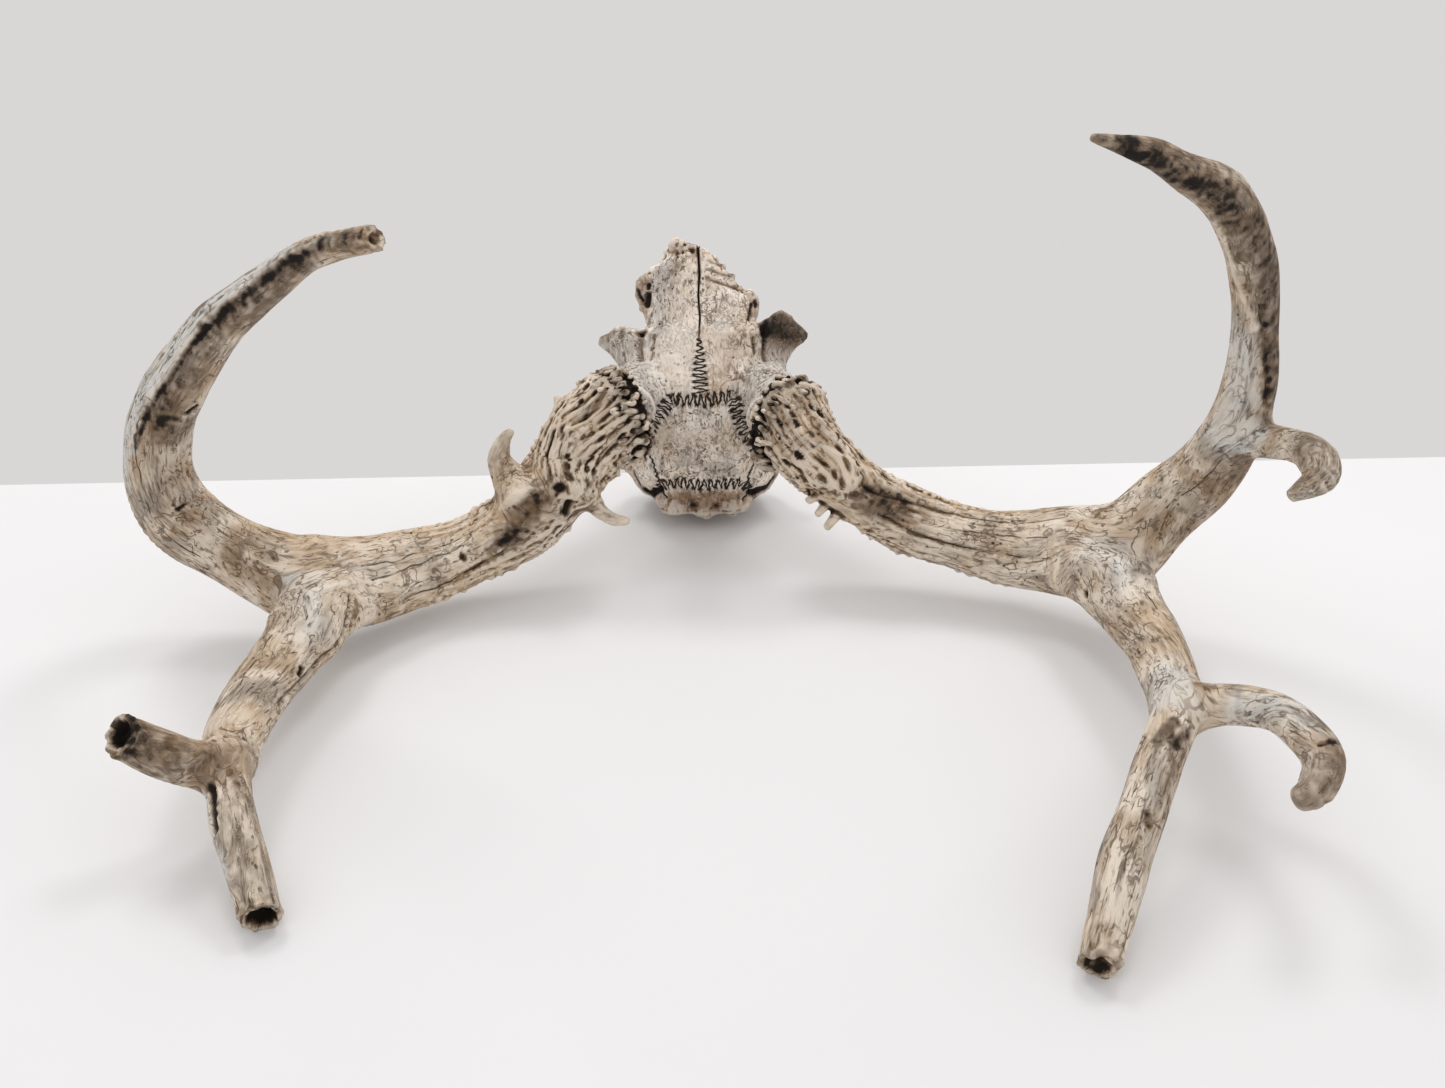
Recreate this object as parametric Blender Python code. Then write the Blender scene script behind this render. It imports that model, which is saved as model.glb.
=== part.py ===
"""Weathered mule deer skull cap with both antlers, resting on a table.

Blender 4.5, metres, +Z up.  The skull stands on its condyles with the nose end up,
the antlers reach out to both sides and towards -Y, and the two lowest rear tines
touch the table.  Skull sizes are written in millimetres in the skull's own frame:
x to the viewer's right, f forward along the skull, u up through its roof.
Antler sizes are written in millimetres in the world frame, before CENTRING moves
everything over the origin.
"""

import math

import bmesh
import bpy
from mathutils import Matrix, Vector

MM = 0.001
GAP = 0.3              # clearance between neighbouring nodes
SUTURE_GAP = 0.4       # width of the thin cuts that part the skull bones
WELD = 0.00002         # metres, joins the doubled vertices that a Boolean leaves
SIDES = 14             # faces round an antler section
STEP = 16.0            # spacing of the sections along an antler
SHARP = math.radians(42.0)
FLAT = math.radians(1.5)
SMALLEST_BONE = 50     # faces; what the cuts leave below this is a splinter
ROUNDED = 0.6          # cap height over the end radius of a whole tine
BLUNT = 0.25           # the same for a worn tip
BROKEN = 0.0           # a tine that ends in a flat break
CAP_TURNS = (math.radians(35.0), math.radians(65.0))

# Brings the middle of the finished box over the origin.
CENTRING = Vector((2.2, -7.9, 0.0))

# Pose of the skull frame in the world.
SKULL_PITCH = math.radians(80.0)
SKULL_PLACE = (1.0, 205.0, 1.3)

# The viewer looks down on the table; the wide side of every antler section faces them.
VIEWER = Vector((0.0, -0.87, 0.5))

# Skull sizes, skull frame.
SKULL_LENGTH = 150.0
BREGMA = (73.0, 77.0)          # f, u where the frontals meet the parietal
LAMBDA_F = 20.0                # lambdoid suture
LAMBDA_DIP = 1.5               # its middle lies this much further back
CORONAL_SIDE = (30.0, 50.0)    # x, f where the coronal suture reaches the temple
FRONTAL_TIP_U = 46.0
TEMPLE_X = 30.0                # upper edge of the temporal bones
CRACK_WIDTH = 1.6              # open crack between the frontals
CRACK_X = -1.8                 # the crack leans off the middle line towards the break
CRACK_START_F = 107.0
BURR_CENTRES = {-1: (-45.0, 70.5, 97.0), 1: (44.0, 67.0, 97.0)}
BURR_NORMAL = (0.82, -0.19, 0.48)          # of the right one; the left one mirrors it
BURR_RADIUS = 28.0
BURR_THICKNESS = 17.0
BURR_KNOBS = 15
BURR_PROFILE = ((-0.5, 0.80), (-0.2, 1.0), (0.25, 0.97), (0.5, 0.76))
KNOB_HEIGHT = 0.055            # over the burr's radius
BURR_UNROUND = 0.03
CONDYLE_X = 15.0
SHEET_SPAN = (-25.0, 125.0)    # u range that a suture cut covers

# Antler landmarks, world frame.
LEFT_BURR = (-44, 122, 90)
LEFT_FORK = (-190, 35, 34)
LEFT_REAR_FORK = (-194, -102, 30)
RIGHT_BURR = (46, 121, 90)
RIGHT_FORK = (209, 53, 42)
RIGHT_REAR_FORK = (205, -82, 46)

BONE = (0.66, 0.58, 0.47, 1.0)
PALE_BONE = (0.70, 0.64, 0.55, 1.0)
GREY_BONE = (0.52, 0.48, 0.43, 1.0)
ANTLER = (0.56, 0.47, 0.36, 1.0)
DARK_ANTLER = (0.44, 0.36, 0.27, 1.0)
BURR_BROWN = (0.48, 0.38, 0.27, 1.0)


# ---------------------------------------------------------------- helpers

def clear_scene():
    """Remove whatever the file holds before modelling."""
    for obj in list(bpy.data.objects):
        bpy.data.objects.remove(obj, do_unlink=True)


def make_collection(name):
    """Return a new collection linked to the scene."""
    collection = bpy.data.collections.new(name)
    bpy.context.scene.collection.children.link(collection)
    return collection


def make_material(name, colour, roughness):
    """A dry, unpolished bone surface."""
    material = bpy.data.materials.new(name)
    material.use_nodes = True
    shader = material.node_tree.nodes["Principled BSDF"]
    shader.inputs["Base Color"].default_value = colour
    shader.inputs["Roughness"].default_value = roughness
    shader.inputs["Metallic"].default_value = 0.0
    return material


def link_mesh(name, mesh_data, collection):
    """Turn a bmesh into an object with triangles and outward normals."""
    bmesh.ops.triangulate(mesh_data, faces=mesh_data.faces)
    bmesh.ops.recalc_face_normals(mesh_data, faces=mesh_data.faces)
    mesh = bpy.data.meshes.new(name)
    mesh_data.to_mesh(mesh)
    mesh_data.free()
    obj = bpy.data.objects.new(name, mesh)
    collection.objects.link(obj)
    return obj


def as_cutter(obj):
    """Keep a cutting shape out of the render."""
    obj.hide_render = True
    obj.display_type = "WIRE"
    return obj


def loft(name, rings, collection):
    """Skin closed rings of equal count and close both ends with a fan."""
    data = bmesh.new()
    loops = [[data.verts.new(Vector(p) * MM) for p in ring] for ring in rings]
    count = len(loops[0])
    for lower, upper in zip(loops, loops[1:]):
        for k in range(count):
            j = (k + 1) % count
            data.faces.new((lower[k], lower[j], upper[j], upper[k]))
    for loop in (loops[0], loops[-1]):
        middle = sum((v.co for v in loop), Vector()) / count
        hub = data.verts.new(middle)
        for k in range(count):
            data.faces.new((loop[k], loop[(k + 1) % count], hub))
    return link_mesh(name, data, collection)


def ellipsoid(name, centre, radii, collection):
    """A UV sphere stretched to three radii."""
    data = bmesh.new()
    bmesh.ops.create_uvsphere(data, u_segments=12, v_segments=6, radius=MM)
    place = Matrix.Translation(Vector(centre) * MM)
    bmesh.ops.transform(data, matrix=place @ Matrix.Diagonal((*radii, 1.0)), verts=data.verts)
    return link_mesh(name, data, collection)


def boolean(obj, other, operation):
    """Add an exact Boolean modifier."""
    modifier = obj.modifiers.new(operation.lower(), "BOOLEAN")
    modifier.operation = operation
    modifier.solver = "EXACT"
    modifier.object = other


def islands(data):
    """Groups of connected faces, the largest first."""
    found = []
    left = set(data.faces)
    while left:
        group = {left.pop()}
        front = list(group)
        while front:
            face = front.pop()
            for edge in face.edges:
                for near in edge.link_faces:
                    if near in left:
                        left.remove(near)
                        group.add(near)
                        front.append(near)
        found.append(group)
    return sorted(found, key=len, reverse=True)


def evaluated_mesh(obj):
    """The object's mesh with its modifiers, cleaned of doubled vertices."""
    graph = bpy.context.evaluated_depsgraph_get()
    data = bmesh.new()
    data.from_mesh(bpy.data.meshes.new_from_object(obj.evaluated_get(graph), depsgraph=graph))
    bmesh.ops.remove_doubles(data, verts=data.verts, dist=WELD)
    bmesh.ops.dissolve_degenerate(data, edges=data.edges, dist=WELD)
    bmesh.ops.dissolve_limit(data, angle_limit=FLAT, verts=data.verts, edges=data.edges)
    bmesh.ops.triangulate(data, faces=data.faces)
    data.verts.index_update()
    data.faces.index_update()
    return data


def settle(obj):
    """Apply the modifiers and keep the largest body."""
    data = evaluated_mesh(obj)
    for group in islands(data)[1:]:
        bmesh.ops.delete(data, geom=list(group), context="FACES")
    obj.modifiers.clear()
    data.to_mesh(obj.data)
    data.free()
    return obj


def flatten_foot(obj):
    """Slice away what lies below the table and close the cut with a small flat."""
    to_local = obj.matrix_world.inverted()
    data = bmesh.new()
    data.from_mesh(obj.data)
    normal = (to_local.to_3x3() @ Vector((0, 0, 1))).normalized()
    geometry = data.verts[:] + data.edges[:] + data.faces[:]
    cut = bmesh.ops.bisect_plane(
        data, geom=geometry, plane_co=to_local @ Vector((0, 0, 0)), plane_no=normal, clear_inner=True
    )
    edges = [item for item in cut["geom_cut"] if isinstance(item, bmesh.types.BMEdge)]
    bmesh.ops.holes_fill(data, edges=edges)
    bmesh.ops.triangulate(data, faces=data.faces)
    data.to_mesh(obj.data)
    data.free()


def finish(obj, material):
    """Give a node its material and soft shading."""
    obj.data.materials.clear()
    obj.data.materials.append(material)
    obj.data.shade_smooth()
    obj.data.set_sharp_from_angle(angle=SHARP)


# ---------------------------------------------------------------- antler sweeps

def blend(before, start, end, after, t):
    """Catmull-Rom interpolation between start and end."""
    return 0.5 * (
        2 * start
        + (end - before) * t
        + (2 * before - 5 * start + 4 * end - after) * t * t
        + (3 * start - before - 3 * end + after) * t ** 3
    )


def placed(path):
    """The path's (centre, half width, half depth) stations, moved over the origin."""
    return [(Vector(centre) + CENTRING, wide, deep) for centre, wide, deep in path]


def stations(path):
    """Smooth (centre, half width, half depth) stations along a hand-chosen path."""
    corners = placed(path)
    ends = corners[:1] + corners + corners[-1:]
    made = []
    for i in range(len(path) - 1):
        quad = [(point, Vector((wide, deep, 0.0))) for point, wide, deep in ends[i:i + 4]]
        length = (quad[2][0] - quad[1][0]).length
        pieces = max(1, round(length / STEP))
        for k in range(pieces):
            centre, size = (blend(*[q[c] for q in quad], k / pieces) for c in (0, 1))
            made.append((centre, size.x, size.y))
    made.append(corners[-1])
    return made


def ring(centre, forward, wide, deep):
    """An elliptical section across the path, its wide side towards the viewer."""
    across = forward.cross(VIEWER).normalized()
    depth = across.cross(forward).normalized()
    turns = [2 * math.pi * k / SIDES for k in range(SIDES)]
    return [centre + across * (wide * math.cos(a)) + depth * (deep * math.sin(a)) for a in turns]


def sweep(name, path, collection, dome=ROUNDED, grow=0.0):
    """Skin a path and round its far end; dome is the cap height over the end radius."""
    made = stations(path)
    rings = []
    for i, (centre, wide, deep) in enumerate(made):
        forward = (made[min(i + 1, len(made) - 1)][0] - made[max(i - 1, 0)][0]).normalized()
        rings.append(ring(centre, forward, wide + grow, deep + grow))
    centre, wide, deep = made[-1]
    reach = dome * deep + grow
    for turn in CAP_TURNS if dome > BROKEN else ():
        point = centre + forward * (reach * math.sin(turn))
        rings.append(ring(point, forward, (wide + grow) * math.cos(turn), (deep + grow) * math.cos(turn)))
    return loft(name, rings, collection)


def branch(name, path, parents, parts, cutters, dome=ROUNDED):
    """A tine that starts inside its parents and is trimmed to leave a fine gap."""
    obj = sweep(name, path, parts, dome)
    for number, (parent_path, parent_dome) in enumerate(parents):
        cutter = sweep(f"cut_{name}_{number}", parent_path, cutters, parent_dome, GAP)
        boolean(obj, as_cutter(cutter), "DIFFERENCE")
    return settle(obj)


def burr_axis(side):
    """Direction in which an antler leaves its pedicle, in the skull frame."""
    return Vector((side * BURR_NORMAL[0], BURR_NORMAL[1], BURR_NORMAL[2])).normalized()


def burr(name, side, parts, grow=0.0):
    """The knobbly ring at an antler's foot, around the end of the pedicle."""
    axis = skull_direction(burr_axis(side))
    centre = skull_point(BURR_CENTRES[side])
    first = axis.cross(Vector((0, 0, 1))).normalized()
    second = axis.cross(first)
    count = 3 * BURR_KNOBS
    rings = []
    for height, scale in BURR_PROFILE:
        middle = centre + axis * (height * (BURR_THICKNESS + 2 * grow))
        points = []
        for a in (2 * math.pi * k / count for k in range(count)):
            lobe = 1.0 + KNOB_HEIGHT * math.cos(BURR_KNOBS * a) + BURR_UNROUND * math.sin(4 * a + side)
            radius = BURR_RADIUS * scale * lobe + grow
            points.append(middle + first * (radius * math.cos(a)) + second * (radius * math.sin(a)))
        rings.append(points)
    return loft(name, rings, parts)


# Each path is a tuple of (centre, half width, half depth), root first, chosen by hand.

LEFT_BEAM = (
    (LEFT_BURR, 23, 22),
    ((-59, 112, 79), 24, 22),
    ((-74, 103, 61), 21, 19),
    ((-95, 88, 41), 20, 18),
    ((-122, 77, 31), 18, 16),
    ((-141, 68, 28), 20, 16),
    ((-165, 51, 29), 23, 16),
    (LEFT_FORK, 27, 16.5),
)
LEFT_FRONT_TINE = (
    (LEFT_FORK, 25, 15.5),
    ((-234, 51, 45), 18, 14),
    ((-259, 53, 64), 19, 15),
    ((-264, 52, 91), 17, 14),
    ((-255, 49, 121), 16, 13),
    ((-237, 45, 147), 14, 12),
    ((-215, 39, 172), 12, 10.5),
    ((-188, 31, 193), 9, 8),
    ((-164, 21, 210), 7, 6.5),
    ((-131, 2, 223), 5, 5),
)
LEFT_REAR_BEAM = (
    (LEFT_FORK, 25, 15),
    ((-187, 2, 33), 20, 14),
    ((-190, -17, 31), 16, 13),
    ((-196, -52, 30), 14.5, 12.5),
    ((-197, -80, 30), 14, 12),
    (LEFT_REAR_FORK, 14, 12),
)
LEFT_REAR_TINE_OUTER = (
    (LEFT_REAR_FORK, 13, 11),
    ((-206, -109, 38), 10.5, 10),
    ((-218, -113, 48), 10, 10),
    ((-231, -115, 59), 8.5, 8.5),
)
LEFT_REAR_TINE_INNER = (
    (LEFT_REAR_FORK, 13, 11),
    ((-185, -127, 26), 10, 10),
    ((-174, -148, 17), 9, 9),
    ((-165, -167, 6.9), 8.5, 8.5),
)
LEFT_BROW_TINE = (
    ((-93, 82, 58), 11.5, 10),
    ((-100, 91, 66), 9, 8),
    ((-104, 92, 77), 6, 5),
    ((-101, 92, 87), 3.6, 3.6),
    ((-96, 91, 93), 1.5, 1.5),
)
LEFT_PRONG = (
    ((-64, 95, 60), 11, 11),
    ((-56, 94, 50), 6.5, 6.5),
    ((-49, 91, 45), 4.5, 4.5),
    ((-43, 88, 42), 2.3, 2.3),
)
LEFT_SPIKE = (
    ((-67, 112, 84), 6, 6),
    ((-74, 117, 96), 3, 3),
    ((-76, 118, 100), 1.5, 1.5),
)
RIGHT_BEAM = (
    (RIGHT_BURR, 22, 21),
    ((54, 108, 80), 20, 19),
    ((66, 102, 68), 18.5, 17.5),
    ((88, 98, 51), 17, 16),
    ((109, 92, 42), 18, 16),
    ((134, 83, 36), 17.5, 16),
    ((162, 74, 34), 20, 16),
    ((187, 65, 37), 24, 16.5),
    (RIGHT_FORK, 26.5, 16.5),
)
RIGHT_FRONT_TINE = (
    (RIGHT_FORK, 25, 15.5),
    ((231, 54, 67), 19.5, 14.5),
    ((247, 49, 90), 17.5, 14),
    ((255, 44, 115), 15.5, 13.5),
    ((256, 39, 140), 13, 12),
    ((253, 36, 165), 11, 10.5),
    ((247, 31, 190), 11, 10),
    ((235, 20, 216), 11, 10),
    ((217, 4, 239), 11, 9.5),
    ((193, -13, 254), 8, 7),
    ((174, -26, 265), 6.3, 5.3),
    ((147, -44, 275), 2, 2),
)
RIGHT_FRONT_HOOK = (
    ((255, 46, 112), 12, 11),
    ((266, 25, 119), 9, 8.5),
    ((269, 0, 128), 8, 8),
    ((268, -22, 132), 8.4, 8.4),
    ((263, -37, 131), 6, 6),
    ((252, -38, 124), 2, 2),
)
RIGHT_REAR_BEAM = (
    (RIGHT_FORK, 25, 15),
    ((206, 26, 42), 20, 14.5),
    ((206, 7, 41), 17, 14),
    ((209, -35, 43), 13.6, 12.2),
    (RIGHT_REAR_FORK, 13, 11.5),
)
RIGHT_REAR_HOOK = (
    (RIGHT_REAR_FORK, 11, 10),
    ((225, -85, 50), 9.7, 9.2),
    ((239, -97, 55), 8.8, 8.8),
    ((243, -119, 60), 8.3, 8.3),
    ((243, -137, 61), 8.2, 8.2),
    ((236, -149, 58), 7, 7),
    ((230, -151, 55), 5, 5),
)
RIGHT_REAR_TINE = (
    (RIGHT_REAR_FORK, 12, 10.7),
    ((189, -112, 42), 10, 10),
    ((178, -134, 35), 10.3, 10.3),
    ((167, -154, 27), 10.4, 10.4),
    ((160, -170, 19), 9.5, 9.5),
    ((151, -190, 6.3), 8, 8),
)
RIGHT_PRONG_UPPER = (
    ((70, 98, 58), 8, 8),
    ((62, 92, 54), 5, 5),
    ((58, 87, 52), 2.2, 2.2),
)
RIGHT_PRONG_LOWER = (
    ((78, 96, 52), 8, 8),
    ((71, 90, 46), 4.5, 4.5),
    ((66, 84, 44), 2.2, 2.2),
)


def hollow_end(obj, path, cutters, radius, depth):
    """Sink the open spongy core into a broken tine end."""
    (before, _, _), (tip, _, _) = placed(path)[-2:]
    inward = (before - tip).normalized()
    data = bmesh.new()
    bmesh.ops.create_cone(
        data, cap_ends=True, segments=12, radius1=radius * 0.45 * MM, radius2=radius * MM, depth=2 * depth * MM
    )
    turn = Vector((0, 0, -1)).rotation_difference(inward).to_matrix().to_4x4()
    bmesh.ops.transform(data, matrix=Matrix.Translation(tip * MM) @ turn, verts=data.verts)
    cutter = link_mesh(f"core_{obj.name}", data, cutters)
    boolean(obj, as_cutter(cutter), "DIFFERENCE")
    return settle(obj)


def beam(name, path, prongs, side, parts, cutters):
    """The main beam with its small prongs joined on, seated against the burr."""
    obj = sweep(name, path, parts)
    for number, prong in enumerate(prongs):
        boolean(obj, as_cutter(sweep(f"add_{name}_{number}", prong, cutters)), "UNION")
    boolean(obj, as_cutter(burr(f"cut_{name}_burr", side, cutters, GAP)), "DIFFERENCE")
    return settle(obj)


def left_antler(parts, cutters):
    """Left beam, brow tine, tall front tine and the forked, broken rear branch."""
    on_beam = ((LEFT_BEAM, ROUNDED),)
    at_fork = on_beam + ((LEFT_FRONT_TINE, ROUNDED),)
    on_rear = ((LEFT_REAR_BEAM, ROUNDED),)
    at_rear_fork = on_rear + ((LEFT_REAR_TINE_OUTER, BROKEN),)
    outer_name = "antler_left_rear_tine_outer"
    inner_name = "antler_left_rear_tine_inner"
    beam("antler_left_beam", LEFT_BEAM, (LEFT_PRONG, LEFT_SPIKE), -1, parts, cutters)
    branch("antler_left_brow_tine", LEFT_BROW_TINE, on_beam, parts, cutters)
    branch("antler_left_front_tine", LEFT_FRONT_TINE, on_beam, parts, cutters)
    branch("antler_left_rear_beam", LEFT_REAR_BEAM, at_fork, parts, cutters)
    outer = branch(outer_name, LEFT_REAR_TINE_OUTER, on_rear, parts, cutters, BROKEN)
    inner = branch(inner_name, LEFT_REAR_TINE_INNER, at_rear_fork, parts, cutters, BROKEN)
    hollow_end(outer, LEFT_REAR_TINE_OUTER, cutters, radius=5.5, depth=9.0)
    hollow_end(inner, LEFT_REAR_TINE_INNER, cutters, radius=5.0, depth=9.0)
    flatten_foot(inner)


def right_antler(parts, cutters):
    """Right beam, tall front tine with its small hook, rear hook and long rear tine."""
    on_beam = ((RIGHT_BEAM, ROUNDED),)
    on_front = ((RIGHT_FRONT_TINE, ROUNDED),)
    on_rear = ((RIGHT_REAR_BEAM, ROUNDED),)
    at_rear_fork = on_rear + ((RIGHT_REAR_HOOK, ROUNDED),)
    prongs = (RIGHT_PRONG_UPPER, RIGHT_PRONG_LOWER)
    beam("antler_right_beam", RIGHT_BEAM, prongs, 1, parts, cutters)
    branch("antler_right_front_tine", RIGHT_FRONT_TINE, on_beam, parts, cutters)
    branch("antler_right_front_hook", RIGHT_FRONT_HOOK, on_front, parts, cutters)
    branch("antler_right_rear_beam", RIGHT_REAR_BEAM, on_beam + on_front, parts, cutters)
    branch("antler_right_rear_hook", RIGHT_REAR_HOOK, on_rear, parts, cutters)
    tine = branch("antler_right_rear_tine", RIGHT_REAR_TINE, at_rear_fork, parts, cutters, BLUNT)
    flatten_foot(tine)


# ---------------------------------------------------------------- skull

def skull_matrix():
    """Skull frame to world frame, in millimetres."""
    return Matrix.Translation(Vector(SKULL_PLACE) + CENTRING) @ Matrix.Rotation(SKULL_PITCH, 4, "X")


def skull_point(point):
    """World millimetres of a skull-frame point."""
    return skull_matrix() @ Vector(point)


def skull_direction(direction):
    """World direction of a skull-frame direction."""
    return (skull_matrix().to_3x3() @ Vector(direction)).normalized()


def roof_u(f):
    """Height of the skull roof along its middle line."""
    bregma_f, bregma_u = BREGMA
    back = 50.0 + (bregma_u - 50.0) * max(0.0, min(1.0, (f + 2) / (bregma_f + 2)))
    front = bregma_u - (bregma_u - FRONTAL_TIP_U) * (f - bregma_f) / (SKULL_LENGTH - bregma_f)
    return min(back, front)


def section(f, half_width, top, bottom, power=2.6, sides=20):
    """A rounded, flattened section of the braincase across the skull."""
    centre = 0.5 * (top + bottom)
    half_height = 0.5 * (top - bottom)
    points = []
    for k in range(sides):
        a = 2 * math.pi * k / sides
        c = math.cos(a)
        s = math.sin(a)
        x = half_width * math.copysign(abs(c) ** (2 / power), c)
        u = centre + half_height * math.copysign(abs(s) ** (2 / power), s)
        points.append((x, f, u))
    return points


def braincase(collection):
    """Loft of the closed case from the nuchal face to behind the orbits."""
    shape = (          # f, half width, bottom
        (-1.0, 21.0, 22.0),
        (4.0, 28.0, 8.0),
        (12.0, 36.0, 2.0),
        (22.0, 41.0, 0.0),
        (38.0, 38.0, 1.0),
        (56.0, 34.0, 5.0),
        (74.0, 32.0, 12.0),
        (92.0, 30.0, 26.0),
        (106.0, 24.0, 40.0),
    )
    rings = [section(f, wide, roof_u(f) - 1.0, low) for f, wide, low in shape]
    return loft("skull_whole", rings, collection)


PLATE_ROWS = (         # f, left reach, right reach, thickness
    (60.0, 29.0, 29.0, 20.0),
    (76.0, 33.0, 33.0, 24.0),
    (92.0, 32.0, 32.0, 22.0),
    (104.0, 29.5, 29.5, 20.0),
    (112.0, 31.0, 28.5, 17.0),
    (119.0, 34.0, 31.0, 14.0),
    (125.0, 36.0, 30.0, 12.0),
    (131.0, 35.5, 20.0, 11.0),
    (138.0, 31.0, 14.0, 10.0),
    (146.0, 22.0, 7.0, 8.5),
    (150.0, 20.0, 3.0, 7.5),
    (153.5, 18.5, -9.0, 6.0),
)
PLATE_STEPS = 10       # columns across the plate
PLATE_CROWN = 5.0      # fall of the roof from the middle line to PLATE_HALF
PLATE_HALF = 33.0
PLATE_THINNING = 0.55  # of the thickness, lost at the side edges


def frontal_plate(collection):
    """The roof plate in front, ending in a jagged break."""
    rings = []
    for f, left, right, thick in PLATE_ROWS:
        top = []
        low = []
        for k in range(PLATE_STEPS + 1):
            x = -left + (left + right) * k / PLATE_STEPS
            crown = PLATE_CROWN * (abs(x) / PLATE_HALF) ** 2
            half = 0.5 * thick * (1.0 - PLATE_THINNING * abs(2 * k / PLATE_STEPS - 1) ** 4)
            middle = roof_u(f) - crown - 0.5 * thick
            top.append((x, f, middle + half))
            low.append((x, f, middle - half))
        rings.append(top + low[::-1])
    return loft("frontal_plate", rings, collection)


BAR_SIDES = 12


def skull_sweep(name, path, collection):
    """A tapering bar in the skull frame: (centre, half width, half depth) stations."""
    rings = []
    count = len(path)
    for i, (centre, wide, deep) in enumerate(path):
        ahead = Vector(path[min(i + 1, count - 1)][0])
        behind = Vector(path[max(i - 1, 0)][0])
        forward = (ahead - behind).normalized()
        across = forward.cross(Vector((0, 0, 1))).normalized()
        depth = across.cross(forward)
        turns = [2 * math.pi * k / BAR_SIDES for k in range(BAR_SIDES)]
        centre = Vector(centre)
        rings.append([centre + across * wide * math.cos(a) + depth * deep * math.sin(a) for a in turns])
    return loft(name, rings, collection)


# The thin wings behind the orbits: distance from the middle line, back and front
# edge, height and half thickness.  The right one keeps more of its front corner.
WINGS = {
    -1: (
        (18, 73, 113, 54, 8),
        (34, 74, 108.5, 55, 6),
        (44, 82, 110, 52, 3.6),
        (50, 91, 107, 50, 2.6),
        (57, 98, 103, 47, 2),
    ),
    1: (
        (18, 73, 113, 54, 8),
        (30, 74, 111, 55, 6.5),
        (38, 77, 115.5, 53, 4.4),
        (44, 83, 118, 51, 3.4),
        (50, 94, 113, 49, 2.6),
        (58, 101, 105.5, 47, 2),
    ),
}


def wing_path(side):
    """Stations of an orbital wing, from the middle line outwards."""
    rows = WINGS[side]
    return [((side * x, 0.5 * (back + front), u), 0.5 * (front - back), half) for x, back, front, u, half in rows]


def side_forms(side, collection):
    """Pedicle, orbital wing, temporal swelling, zygomatic root and condyle of one side."""
    seat = Vector(BURR_CENTRES[side]) - burr_axis(side) * (0.3 * BURR_THICKNESS)
    pedicle = (
        ((side * 27, 80, 46), 17, 15),
        ((side * 34, 77, 62), 16, 15),
        ((side * 41, 73, 78), 15, 15),
        (tuple(seat), 16, 16),
    )
    root = (
        ((side * 30, 24, 26), 13, 8),
        ((side * 41, 28, 27), 11, 6),
        ((side * 46, 33, 29), 8, 4),
    )
    return [
        skull_sweep(f"pedicle_{side}", pedicle, collection),
        skull_sweep(f"wing_{side}", wing_path(side), collection),
        skull_sweep(f"zygoma_{side}", root, collection),
        ellipsoid(f"mastoid_{side}", (side * 33, 16, 24), (9, 11, 18), collection),
        ellipsoid(f"condyle_{side}", (side * CONDYLE_X, 4.2, 12), (9, 8, 12), collection),
    ]


def occipital_crest(collection):
    """The nuchal crest that overhangs the back of the skull, with its middle knob."""
    bar = (
        ((-32, 11, 38), 4, 4),
        ((-19, 3.5, 47), 4, 4),
        ((0, 2.5, 50), 4.5, 3.5),
        ((19, 3.5, 47), 4, 4),
        ((32, 11, 38), 4, 4),
    )
    knob = ellipsoid("nuchal_knob", (1, -0.5, 48), (6, 3.5, 5), collection)
    return [skull_sweep("nuchal_bar", bar, collection), knob]


def sheet(name, outline, collection, width=SUTURE_GAP):
    """A thin upright wall along an (x, f) outline, used to part two bones."""
    low, high = SHEET_SPAN
    points = [Vector((x, f)) for x, f in outline]
    rings = []
    for i, point in enumerate(points):
        ahead = points[min(i + 1, len(points) - 1)]
        behind = points[max(i - 1, 0)]
        along = (ahead - behind).normalized()
        side = Vector((-along.y, along.x)) * (0.5 * width)
        a = point + side
        b = point - side
        rings.append([(a.x, a.y, low), (b.x, b.y, low), (b.x, b.y, high), (a.x, a.y, high)])
    return loft(name, rings, collection)


CORONAL_TEETH = 10
TOOTH_REACH = 2.2
OUTSIDE_X = 90.0       # beyond both sides of the skull


def coronal_outline():
    """The coronal suture: an arch of teeth between the temples, then straight out."""
    side_x, side_f = CORONAL_SIDE
    outline = [(-OUTSIDE_X, side_f - 8.0), (-side_x - 6.0, side_f - 3.0)]
    for k in range(CORONAL_TEETH + 1):
        x = -side_x + 2 * side_x * k / CORONAL_TEETH
        f = BREGMA[0] + (side_f - BREGMA[0]) * (abs(x) / side_x) ** 1.5
        if 0 < k < CORONAL_TEETH:
            f += TOOTH_REACH if k % 2 else -TOOTH_REACH
        outline.append((x, f))
    return outline + [(side_x + 6.0, side_f - 3.0), (OUTSIDE_X, side_f - 8.0)]


def suture_cutters(collection):
    """Coronal, lambdoid, squamosal and midline cuts, and the open crack in front."""
    coronal = coronal_outline()
    lambdoid = [(-OUTSIDE_X, LAMBDA_F), (-20.0, LAMBDA_F), (0.0, LAMBDA_F - LAMBDA_DIP)]
    lambdoid += [(-x, f) for x, f in reversed(lambdoid[:2])]
    midline = [(0.0, coronal[len(coronal) // 2][1]), (CRACK_X, CRACK_START_F + 1.0)]
    crack = [(CRACK_X, CRACK_START_F), (CRACK_X, SKULL_LENGTH + 20.0)]
    cutters = [
        sheet("cut_coronal", coronal, collection),
        sheet("cut_lambdoid", lambdoid, collection),
        sheet("cut_midline", midline, collection),
        sheet("cut_crack", crack, collection, CRACK_WIDTH),
    ]
    for x in (-TEMPLE_X, TEMPLE_X):
        squamosal = [(x, LAMBDA_F), (x, CORONAL_SIDE[1])]
        cutters.append(sheet(f"cut_squamosal_{x:+.0f}", squamosal, collection))
    return cutters


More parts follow.
